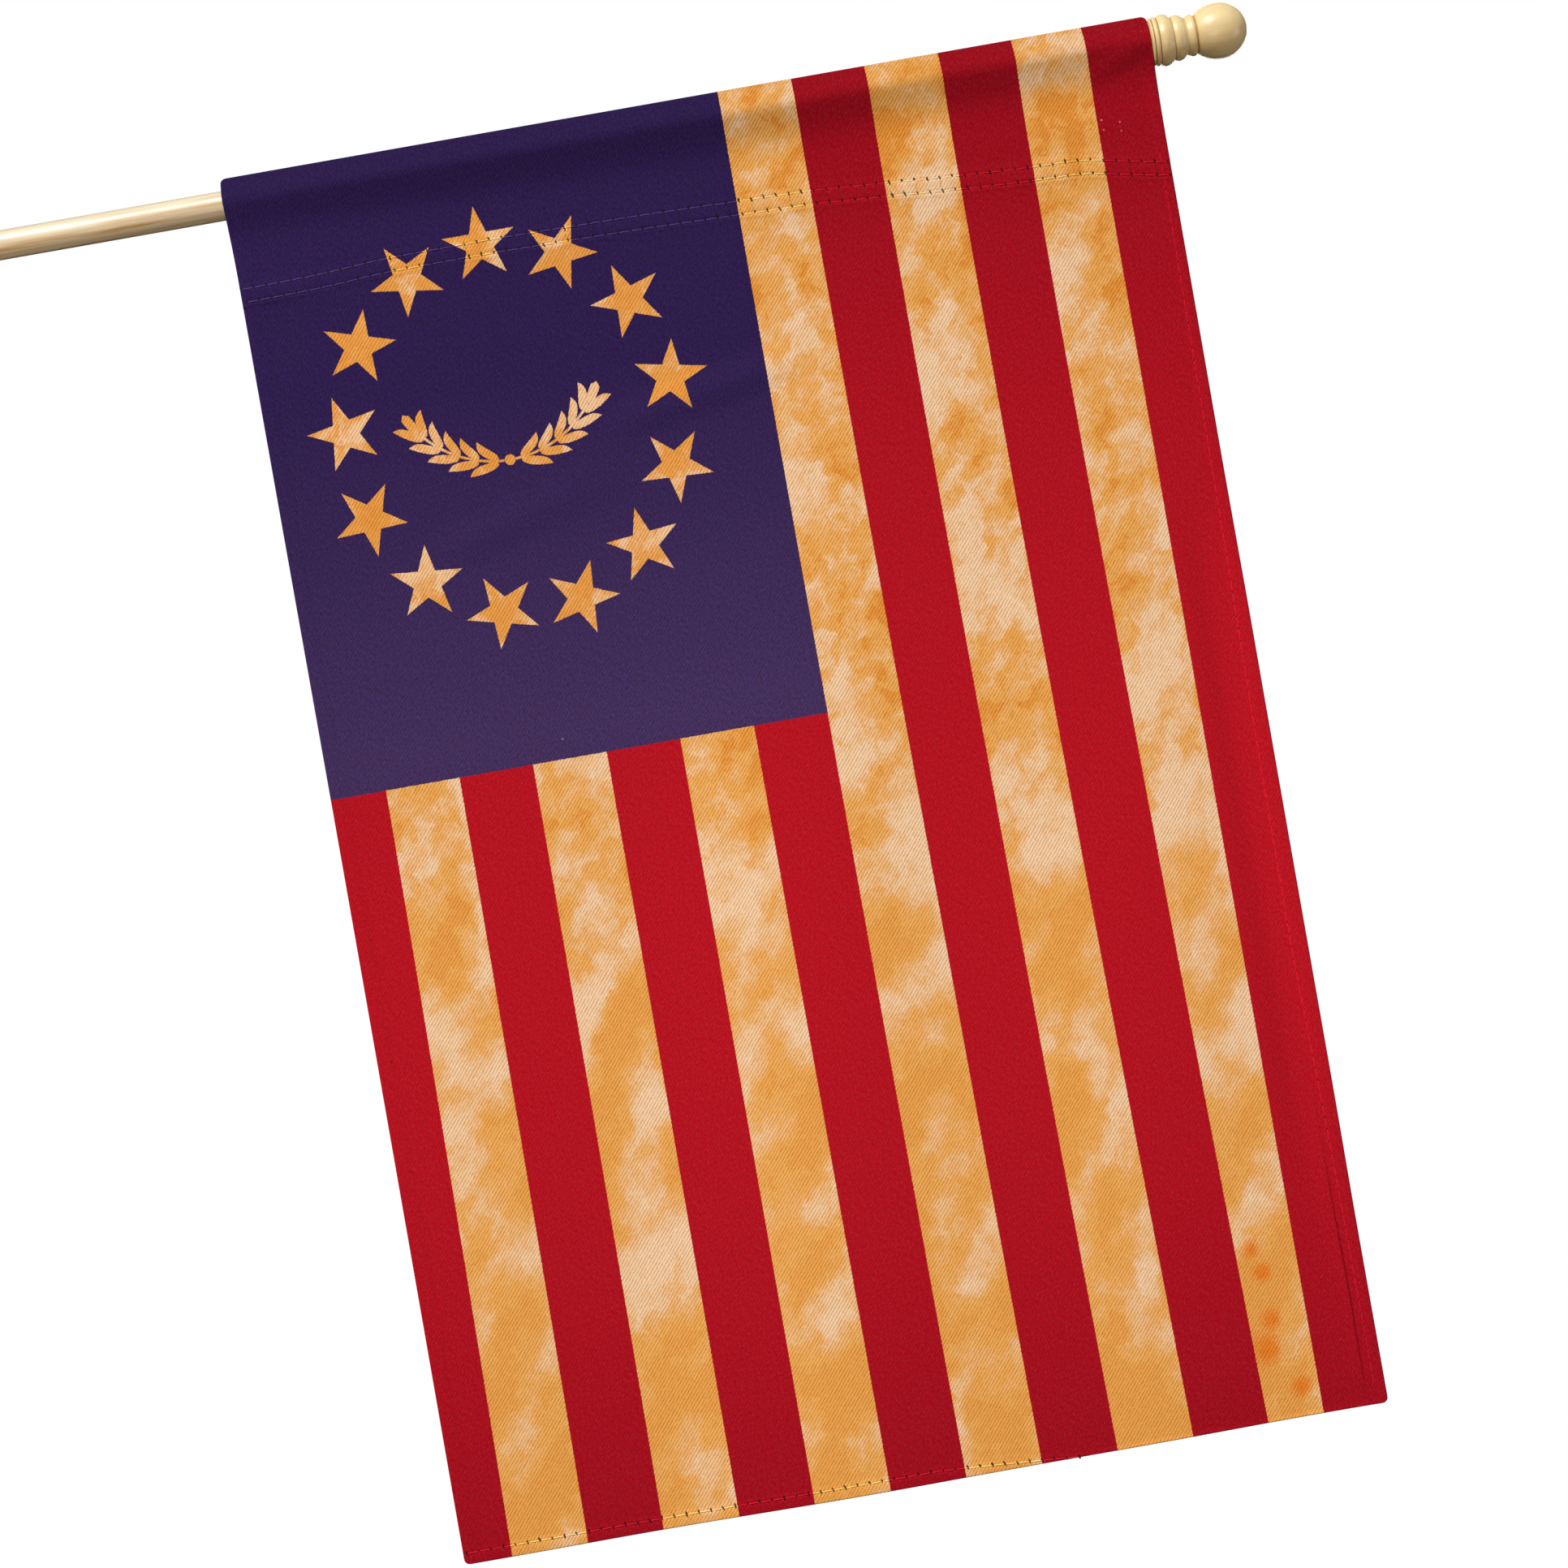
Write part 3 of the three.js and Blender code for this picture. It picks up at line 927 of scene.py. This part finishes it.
def build_cloth_mesh(sewing):
    """One closed sheet: front, reverse, the sleeve's inside and the cut ends."""
    along = cloth_columns(sewing)
    fullness = edge_fullness(np.minimum(along, FLAG_WIDTH - along))
    skins = {"front": [], "back": [], "front_inside": [], "back_inside": []}

    def squeeze(outer, inner, full):
        middle = (outer + inner) / 2
        return middle + (outer - middle) * full, middle + (inner - middle) * full

    for depth, inner_depth, front_layer, back_layer in sleeve_rows(along, sewing):
        front, front_inside = squeeze(*front_layer, fullness)
        back, back_inside = squeeze(*back_layer, fullness)
        skins["front"].append((depth, -front))
        skins["back"].append((depth, back))
        skins["front_inside"].append((inner_depth, -front_inside))
        skins["back_inside"].append((inner_depth, back_inside))

    for depth in hanging_depths(along):
        offset = hang(along, depth)
        proud = sewing.cloth + front_relief(along, depth, sewing)
        full = fullness * edge_fullness(FLAG_LENGTH - depth)
        front, back = squeeze(-proud, back_height(along, depth, sewing), full)
        skins["front"].append((depth, offset + front))
        skins["back"].append((depth, offset + back))

    return mesh_of_skins(skins, along, sewing)


def corner_inset(depth, sewing):
    """How far the cloth's round corners lie inside its side edges."""
    from_edge = np.minimum(depth, FLAG_LENGTH - depth)
    within = np.maximum(sewing.corner - from_edge, 0)
    return sewing.corner - np.sqrt(np.maximum(sewing.corner**2 - within**2, 0))


def mesh_of_skins(skins, along, sewing):
    """Joins the skins at the fold, the seam and the edges, and marks all but the front as reverse."""
    columns = len(along)
    corner_reach = 12.0
    from_side = np.minimum(along, FLAG_WIDTH - along)
    toward_middle = np.where(along < FLAG_WIDTH / 2, 1.0, -1.0) * np.maximum(1 - from_side / corner_reach, 0)
    mates = {"back": "front", "back_inside": "front_inside"}
    vertices = []
    reverse = []
    grids = {}
    for name, rows in skins.items():
        last = len(rows) - 1
        grid = []
        for index, (depth, side) in enumerate(rows):
            # The front and the back share a row at the fold, and the inside skins also at the seam
            at_seam = name.endswith("inside") and index == last
            if name in mates and (index == 0 or at_seam):
                grid.append(grids[mates[name]][index])
                continue
            x = FLAG_LEFT + along + corner_inset(depth, sewing) * toward_middle
            y = side * (0 if at_seam else 1)
            first = len(vertices)
            vertices.extend(zip(x * MM, y * MM, (FOLD_HEIGHT - depth) * MM))
            reverse.extend([0.0 if name == "front" else 1.0] * columns)
            grid.append(list(range(first, first + columns)))
        grids[name] = grid
    return finished_mesh("printed_cloth", vertices, sheet_faces(grids), reverse=reverse)


def strip(first, second):
    """Faces between two lines of points."""
    return list(zip(first, second, second[1:], first[1:]))


def sheet_faces(grids):
    """Faces of the skins, of the cloth's two side ends and of its bottom edge."""
    faces = []
    for grid in grids.values():
        for upper, lower in zip(grid, grid[1:]):
            faces += strip(upper, lower)
    front, back = grids["front"], grids["back"]
    faces += strip(front[-1], back[-1])
    seam_row = len(grids["front_inside"]) - 1
    for end in (0, -1):
        sides = {name: [row[end] for row in grid] for name, grid in grids.items()}
        for name in ("front", "back"):
            faces += strip(sides[name][:seam_row + 1], sides[f"{name}_inside"])
        faces.append((sides["front"][seam_row], sides["back"][seam_row], sides["front_inside"][-1]))
        faces += strip(sides["front"][seam_row:], sides["back"][seam_row:])
    return faces


def finished_mesh(name, points, faces, closed=True, **marks):
    """A smoothly shaded mesh in metres with marks at its points; a closed one has its faces outwards."""
    mesh = bpy.data.meshes.new(name)
    mesh.from_pydata(points, [], faces)
    for mark, values in marks.items():
        mesh.attributes.new(mark, "FLOAT", "POINT").data.foreach_set("value", values)
    if closed:
        shape = bmesh.new()
        shape.from_mesh(mesh)
        bmesh.ops.recalc_face_normals(shape, faces=shape.faces)
        shape.to_mesh(mesh)
        shape.free()
    mesh.polygons.foreach_set("use_smooth", [True] * len(mesh.polygons))
    mesh.update()
    return mesh


def add_piece(name, mesh, material):
    """Places a finished mesh as a piece that rides with the flag's one body."""
    piece = bpy.data.objects.new(name, mesh)
    bpy.context.scene.collection.objects.link(piece)
    mesh.materials.append(material)
    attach(piece, "root")
    return piece


def front_surface(along, depth, sewing):
    """The front skin's place towards the viewer, at or below the sleeve's seam."""
    seam = seam_depth(along)
    section = SleeveSection(sewing)
    _, fall_outer = section.fall(depth, seam)
    sheet = np.where(depth < seam, fall_outer, sewing.cloth)
    return hang(along, depth) * (depth >= seam) - sheet - front_relief(along, depth, sewing)


def back_surface(along, depth, sewing):
    """The reverse's place, away from the viewer, at or below the sleeve's seam."""
    return hang(along, depth) * (depth >= seam_depth(along)) + back_height(along, depth, sewing)


def seam_rows(sewing):
    """Needle places of the sleeve's two rows, as (along, depth) pairs."""
    first_start = 1.4
    row_shift = 2.6
    end_gap = 2.0
    count = int(FLAG_WIDTH / sewing.stitch)
    rows = []
    for row in range(2):
        start = first_start + row_shift * row
        along = start + np.arange(count) * (FLAG_WIDTH - start - end_gap) / (count - 1)
        rows.append((along, seam_depth(along) + row * sewing.row_gap))
    return rows


def specks_between_rows(sewing, rng):
    """Places of the fine dark specks that run down from some needle holes to the second row."""
    marked_share = 0.4
    drops = (3.0, 5.2, 7.4)
    stray_along = 0.3
    stray_down = 0.6
    along, depth = seam_rows(sewing)[0]
    chosen = rng.random(len(along)) < marked_share
    count = len(drops) * chosen.sum()
    places = np.repeat(along[chosen], len(drops)) + rng.uniform(-stray_along, stray_along, count)
    below = np.tile(drops, chosen.sum()) + rng.uniform(-stray_down, stray_down, count)
    return places, np.repeat(depth[chosen], len(drops)) + below


def bottom_row(sewing):
    """Needle places of the bottom hem, up to where its row runs off the edge."""
    start, end = 3.0, 476.0
    along = np.arange(start, end, sewing.stitch)
    return along, FLAG_LENGTH - hem_row_height(along, sewing)


def side_run(sewing, right):
    """Needle places of a side hem's row, which starts at the sleeve's seam."""
    start = 103.1 if right else 100.0
    bottom_gap = 12.0
    depth = np.arange(start, FLAG_LENGTH - bottom_gap, sewing.stitch)
    from_edge = side_rows(depth)[1 if right else 0]
    return (FLAG_WIDTH - from_edge if right else from_edge), depth


def add_thread(vertices, faces, start, end, radius, outward):
    """One stitch: a short thread that rises from its first needle hole and dives into the next."""
    sides = 6
    rings = 7
    inset = 0.02
    crown = 0.36
    sunk = 0.16
    up = Vector((0, outward, 0))
    run = end - start
    step_across = up.cross(run).normalized()
    first = len(vertices)
    for i in range(rings):
        share = i / (rings - 1)
        lift = math.sin(math.pi * share) ** 0.6
        centre = start + run * (inset + (1 - 2 * inset) * share) + up * (lift * crown - sunk)
        width = radius * (0.7 + 0.3 * math.sin(math.pi * share) ** 0.5)
        for k in range(sides):
            angle = math.tau * k / sides
            offset = step_across * math.cos(angle) + up * math.sin(angle)
            vertices.append(centre + offset * width)
    for i in range(rings - 1):
        for k in range(sides):
            a = first + i * sides + k
            b = first + i * sides + (k + 1) % sides
            faces.append((a, b, b + sides, a + sides))
    faces.append(tuple(first + k for k in reversed(range(sides))))
    last = first + (rings - 1) * sides
    faces.append(tuple(last + k for k in range(sides)))


def stitched_mesh(name, runs, surface, outward, sewing):
    """Threads along every run of needle places on one side of the cloth; a run gives its share of width."""
    vertices = []
    faces = []
    for along, depth, width_share in runs:
        side = surface(along, depth, sewing)
        points = [Vector((FLAG_LEFT + a, y, FOLD_HEIGHT - d)) for a, y, d in zip(along, side, depth)]
        for start, end in zip(points, points[1:]):
            add_thread(vertices, faces, start, end, sewing.thread / 2 * width_share, outward)
    return finished_mesh(name, [vertex * MM for vertex in vertices], faces)


def needle_hole_shadow_mesh(name, runs, sewing, rng):
    """Dark slots of painted shadow where the thread goes in, each a low lens; a run gives its slots' size as
    well.
    """
    vertices = []
    faces = []
    sides = 10
    rim = 0.05
    crown = 0.16
    for along, depth, size in runs:
        for place, below in zip(along, depth):
            half_length = rng.uniform(1.0, 2.0) * size
            half_width = rng.uniform(0.5, 0.85) * size
            slant = rng.uniform(0.05, 0.42)
            shift = rng.uniform(-0.9, 0.2)
            first = len(vertices)
            for k in range(sides):
                angle = math.tau * k / sides
                across = math.copysign(abs(math.sin(angle)) ** 1.6, math.sin(angle)) * half_width
                down = math.cos(angle) * half_length + shift
                x = place + across + slant * down
                vertices.append((x, below + down, rim))
            vertices.append((place + slant * shift, below + shift, crown))
            centre = first + sides
            for k in range(sides):
                faces.append((first + k, first + (k + 1) % sides, centre))
    flat = np.array(vertices)
    front = front_surface(flat[:, 0], flat[:, 1], sewing) - flat[:, 2]
    points = np.column_stack((FLAG_LEFT + flat[:, 0], front, FOLD_HEIGHT - flat[:, 1])) * MM
    return finished_mesh(name, points.tolist(), faces, closed=False)


def turned_mesh(name, profile, segments):
    """A closed turned piece along X from (place, radius) points whose ends lie on the axis."""
    vertices = [(profile[0][0], 0.0, 0.0)]
    faces = []
    for place, radius in profile[1:-1]:
        for k in range(segments):
            angle = math.tau * k / segments
            vertices.append((place, radius * math.cos(angle), radius * math.sin(angle)))
    vertices.append((profile[-1][0], 0.0, 0.0))
    last = len(vertices) - 1
    rings = len(profile) - 2
    for k in range(segments):
        after = (k + 1) % segments
        faces.append((0, 1 + after, 1 + k))
        end = 1 + (rings - 1) * segments
        faces.append((last, end + k, end + after))
        for ring in range(rings - 1):
            a = 1 + ring * segments
            faces.append((a + k, a + after, a + segments + after, a + segments + k))
    depths = [groove_share(profile, i) for i in range(1, len(profile) - 1)]
    groove = [0.0, *np.repeat(depths, segments), 0.0]
    return finished_mesh(name, [Vector(vertex) * MM for vertex in vertices], faces, groove=groove)


def groove_share(profile, index):
    """How deep a point of a profile lies between higher ones beside it, from 0 to 1."""
    reach = 1.3
    full_depth = 0.7
    place, radius = profile[index]
    before = [r for p, r in profile if place - reach <= p <= place]
    after = [r for p, r in profile if place <= p <= place + reach]
    return min((min(max(before), max(after)) - radius) / full_depth, 1.0)


def arc(start, end, start_radius, end_radius, bulge, steps):
    """Profile points of a rounded bead between two places."""
    points = []
    for i in range(steps + 1):
        share = i / steps
        radius = start_radius + (end_radius - start_radius) * share + bulge * math.sin(math.pi * share)
        points.append((start + (end - start) * share, radius))
    return points


def flowing(knots, steps):
    """A smooth curve through (place, radius) knots."""
    points = []
    padded = [knots[0], *knots, knots[-1]]
    for i in range(1, len(padded) - 2):
        before, here, after, beyond = (Vector(padded[i + k]) for k in (-1, 0, 1, 2))
        for k in range(steps):
            t = k / steps
            point = 0.5 * (
                2 * here
                + (after - before) * t
                + (2 * before - 5 * here + 4 * after - beyond) * t**2
                + (3 * here - before - 3 * after + beyond) * t**3
            )
            points.append((point.x, point.y))
    points.append(tuple(knots[-1]))
    return points


def pole_profile():
    """The pole from its sawn butt, whose edge is a little rounded, to the finial."""
    edge = 1.2
    shaft_steps = 60
    start, end = POLE_LOW.x, POLE_HIGH.x
    rounding = [
        (start + edge * (1 - math.cos(angle)), POLE_RADIUS - edge * (1 - math.sin(angle)))
        for angle in np.linspace(0, math.pi / 2, 6)
    ]
    shaft_start = rounding[-1][0]
    shaft = [
        (shaft_start + (end - shaft_start) * i / shaft_steps, POLE_RADIUS)
        for i in range(1, shaft_steps + 1)
    ]
    return [(start, 0.0), *rounding, *shaft, (end, 0.0)]


def finial_profile():
    """Two thin rings, a bead, a second bead, a cove, a collar and the ball, from the pole outwards."""
    ball_radius = FINIAL_HIGH.z
    ball_centre = FINIAL_HIGH.x - FINIAL_LOW.x - ball_radius
    neck_radius = 14.6
    neck_reach = 25.5
    rings = [
        *arc(0.3, 1.5, 17.6, 17.9, 0.5, 6),
        (1.7, 17.4), (1.9, 17.1), (2.1, 17.5),
        *arc(2.3, 5.4, 17.9, 18.1, 0.7, 8),
        (5.65, 17.4), (5.85, 17.1), (6.05, 17.5),
        *arc(6.25, 16.5, 18.3, 16.8, 2.0, 20),
        (16.75, 16.3), (16.9, 16.15), (17.1, 16.4),
    ]
    bead_and_cove = [(17.3, 16.6), (20.6, 17.4), (24.2, 16.4), (27.2, 14.3)]
    collar = [(31.0, 15.75), (33.1, 15.6), (34.2, 14.5)]
    neck = flowing([*bead_and_cove, *collar], 6)
    groove = [(34.45, 14.15), (34.65, 14.2)]
    ball = []
    steps = 44
    neck_angle = math.acos(neck_radius / ball_radius)
    for i in range(steps + 1):
        angle = -neck_angle + (math.pi / 2 + neck_angle) * i / steps
        reach = neck_reach if angle < 0 else ball_radius
        ball.append((ball_centre + reach * math.sin(angle), max(ball_radius * math.cos(angle), 0.0)))
    profile = [(0.0, 0.0), (0.0, 17.2), *rings, *neck, *groove, *ball]
    return [(FINIAL_START + place, radius) for place, radius in profile]


class HOUSEFLAG_OT_sew_cloth(bpy.types.Operator):
    """Make the printed cloth with its sleeve and hems"""

    bl_idname = "house_flag.sew_cloth"
    bl_label = "Sew Cloth"

    def execute(self, context):
        sewing = context.scene.flag_sewing
        mesh = build_cloth_mesh(sewing)
        material = twill_material(sewing, context.scene.flag_print)
        cloth = add_piece("printed_flag", mesh, material)
        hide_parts("flag_cloth")
        return {"FINISHED"}


class HOUSEFLAG_OT_sew_stitches(bpy.types.Operator):
    """Lay the threads of the sleeve and the hem, and the painted shadows at their needle holes"""

    bl_idname = "house_flag.sew_stitches"
    bl_label = "Sew Stitches"

    def execute(self, context):
        sewing = context.scene.flag_sewing
        layout = context.scene.flag_print
        thread = thread_material(layout)
        rng = np.random.default_rng(1907)
        strong = [*seam_rows(sewing), bottom_row(sewing)]
        left, right = (side_run(sewing, side) for side in (False, True))

        # Each run ends with its threads' share of the full width, or with its slots' share of the full size
        rows = [(*row, 1.0) for row in strong] + [(*right, 0.65)]
        slots = [(*row, 1.2) for row in strong] + [(*left, 0.75), (*right, 0.5)]
        slots.append((*specks_between_rows(sewing, rng), 0.35))
        sides = (("front_stitches", front_surface, -1), ("reverse_stitches", back_surface, 1))
        for name, surface, outward in sides:
            add_piece(name, stitched_mesh(name, rows, surface, outward, sewing), thread)
        holes = needle_hole_shadow_mesh("needle_hole_shadows", slots, sewing, rng)
        add_piece("needle_hole_shadows", holes, needle_hole_shadow_material(layout))
        return {"FINISHED"}


class HOUSEFLAG_OT_turn_pole(bpy.types.Operator):
    """Turn the wooden pole"""

    bl_idname = "house_flag.turn_pole"
    bl_label = "Turn Pole"

    def execute(self, context):
        look = context.scene.wood_look
        material = wood_material(
            "Pole Wood", roughness=0.45, coat=1.0, light=look.pole_light, grain=look.pole_grain,
            ring_step=5.2, ring_mark=0.2, streak_mark=0.5)
        pole = add_piece("wooden_pole", turned_mesh("wooden_pole", pole_profile(), 96), material)
        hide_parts("pole")
        return {"FINISHED"}


class HOUSEFLAG_OT_turn_finial(bpy.types.Operator):
    """Turn the ball finial"""

    bl_idname = "house_flag.turn_finial"
    bl_label = "Turn Finial"

    def execute(self, context):
        look = context.scene.wood_look
        material = wood_material(
            "Finial Wood", roughness=0.42, coat=0.15, light=look.finial_light, grain=look.finial_grain,
            ring_step=6.5, ring_mark=0.12, streak_mark=0.16)
        mesh = turned_mesh("ball_finial", finial_profile(), 128)
        finial = add_piece("ball_finial", mesh, material)
        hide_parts("finial")
        return {"FINISHED"}


def add_camera(stage):
    """A camera straight before the flag, rolled so that the pole rises to the right."""
    aim_along = 341.0
    aim_depth = 525.5
    aim = Vector((FLAG_LEFT + aim_along, 0.0, FOLD_HEIGHT - aim_depth)) * MM
    camera = bpy.data.cameras.new("Studio Camera")
    camera.sensor_width = 36.0
    camera.lens = camera.sensor_width * stage.distance / stage.width
    camera.clip_end = 50.0
    view = bpy.data.objects.new("Studio Camera", camera)
    bpy.context.scene.collection.objects.link(view)
    right = Vector((math.cos(stage.roll), 0, -math.sin(stage.roll)))
    up = Vector((math.sin(stage.roll), 0, math.cos(stage.roll)))
    turned = Matrix((right, up, Vector((0, -1, 0)))).transposed().to_4x4()
    view.matrix_world = Matrix.Translation(aim - Vector((0, stage.distance, 0))) @ turned
    bpy.context.scene.camera = view


def add_softbox(name, aim, offset, size, power, spread=180):
    """A rectangle of light at an offset from the place it lights."""
    light = bpy.data.lights.new(name, "AREA")
    light.shape = "RECTANGLE"
    light.size, light.size_y = size
    light.energy = power
    light.spread = math.radians(spread)
    box = bpy.data.objects.new(name, light)
    box.location = aim + Vector(offset)
    box.rotation_euler = (aim - box.location).to_track_quat("-Z", "Y").to_euler()
    box.visible_camera = False
    bpy.context.scene.collection.objects.link(box)


def add_key(strength):
    """A wide, even light from high on the left in front, with no fall-off over the flag."""
    light = bpy.data.lights.new("Key", "SUN")
    light.energy = strength
    light.angle = math.radians(24)
    key = bpy.data.objects.new("Key", light)
    rise = math.radians(44)
    side = math.radians(33)
    toward = Vector((-math.sin(side) * math.cos(rise), -math.cos(side) * math.cos(rise), math.sin(rise)))
    key.rotation_euler = (-toward).to_track_quat("-Z", "Y").to_euler()
    bpy.context.scene.collection.objects.link(key)


def studio_world(strength):
    """An even room light that the camera sees as plain white."""
    world = bpy.data.worlds.new("Studio Room")
    world.use_nodes = True
    tree = world.node_tree
    background = tree.nodes["Background"]
    background.inputs["Color"].default_value = (1, 1, 1, 1)
    seen = tree.nodes.new("ShaderNodeLightPath")
    camera_ray = Field(tree, seen.outputs["Is Camera Ray"])
    coordinates = tree.nodes.new("ShaderNodeTexCoord")
    split = tree.nodes.new("ShaderNodeSeparateXYZ")
    tree.links.new(coordinates.outputs["Generated"], split.inputs[0])
    from_above = Field(tree, split.outputs["Z"]).between(-0.4, 0.7)
    room = (from_above * 0.86 + 0.14) * strength
    feed(tree, background.inputs["Strength"], camera_ray.most(room))
    bpy.context.scene.world = world


def add_floor(centre):
    """A pale floor well below the flag, which neither lights nor mirrors in it."""
    half = 3.2
    drop = 2.2
    level = FOLD_HEIGHT * MM - drop
    corners = ((-half, -half), (half, -half), (half, half), (-half, half))
    mesh = bpy.data.meshes.new("floor")
    mesh.from_pydata([(centre + x, y, level) for x, y in corners], [], [(0, 1, 2, 3)])
    pale, _, shader = new_material("Pale Floor", 0.7)
    shader.inputs["Base Color"].default_value = (0.88, 0.88, 0.87, 1)
    mesh.materials.append(pale)
    floor = bpy.data.objects.new("floor", mesh)
    floor.visible_diffuse = False
    floor.visible_glossy = False
    bpy.context.scene.collection.objects.link(floor)
    floor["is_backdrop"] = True


class HOUSEFLAG_OT_set_stage(bpy.types.Operator):
    """Set the camera, the softboxes and the pale floor"""

    bl_idname = "house_flag.set_stage"
    bl_label = "Set Stage"

    def execute(self, context):
        stage = context.scene.studio_stage
        add_camera(stage)
        middle = Vector((FLAG_LEFT + FLAG_WIDTH / 2, 0, FOLD_HEIGHT - FLAG_LENGTH * 0.52)) * MM
        bare_pole = Vector((FLAG_LEFT - 130, 0, -POLE_RADIUS)) * MM
        finial = Vector(((FINIAL_LOW.x + FINIAL_HIGH.x) / 2, 0, 0)) * MM
        add_softbox("Front Softbox", middle, (-0.1, -1.45, 0.0), (0.7, 0.5), stage.front_light)
        add_softbox("Rear Softbox", middle, (0.6, 2.2, 0.9), (1.6, 1.6), stage.rear_light)
        add_softbox("Pole Fill", bare_pole, (-0.45, -0.35, -0.15), (0.3, 0.2), stage.pole_fill, 60)
        add_softbox("Finial Fill", finial, (0.27, -0.09, -0.09), (0.14, 0.14), stage.finial_fill, 30)
        add_key(stage.key_light)
        studio_world(stage.room_light)
        context.scene.view_settings.view_transform = "Standard"
        add_floor(middle.x)
        return {"FINISHED"}


class HOUSEFLAG_PT_panel(bpy.types.Panel):
    """Lists the steps and sizes of the house flag"""

    bl_label = "House Flag"
    bl_idname = "HOUSEFLAG_PT_panel"
    bl_space_type = "VIEW_3D"
    bl_region_type = "UI"
    bl_category = "House Flag"

    def draw(self, context):
        layout = self.layout
        for operator in OPERATORS:
            layout.operator(operator.bl_idname)
        for group_name in SETTINGS:
            group = getattr(context.scene, group_name)
            box = layout.box()
            for key in group.__annotations__:
                box.prop(group, key)


SETTINGS = {
    "flag_sewing": FlagSewing,
    "flag_print": FlagPrint,
    "wood_look": WoodLook,
    "studio_stage": StudioStage,
}
OPERATORS = (
    HOUSEFLAG_OT_set_stage,
    HOUSEFLAG_OT_sew_cloth,
    HOUSEFLAG_OT_sew_stitches,
    HOUSEFLAG_OT_turn_pole,
    HOUSEFLAG_OT_turn_finial,
)


def register():
    for item in (*SETTINGS.values(), *OPERATORS, HOUSEFLAG_PT_panel):
        bpy.utils.register_class(item)
    for name, group in SETTINGS.items():
        setattr(bpy.types.Scene, name, bpy.props.PointerProperty(type=group))


def unregister():
    for name in SETTINGS:
        delattr(bpy.types.Scene, name)
    for item in reversed((*SETTINGS.values(), *OPERATORS, HOUSEFLAG_PT_panel)):
        bpy.utils.unregister_class(item)


def main():
    register()
    bpy.ops.house_flag.set_stage()
    bpy.ops.house_flag.sew_cloth()
    bpy.ops.house_flag.sew_stitches()
    bpy.ops.house_flag.turn_pole()
    bpy.ops.house_flag.turn_finial()
    boxes = {"cad": CAD_BOX, "visual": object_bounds()}
    {name: [list(corner) for corner in box] for name, box in boxes.items()}


if __name__ == "__main__":
    main()
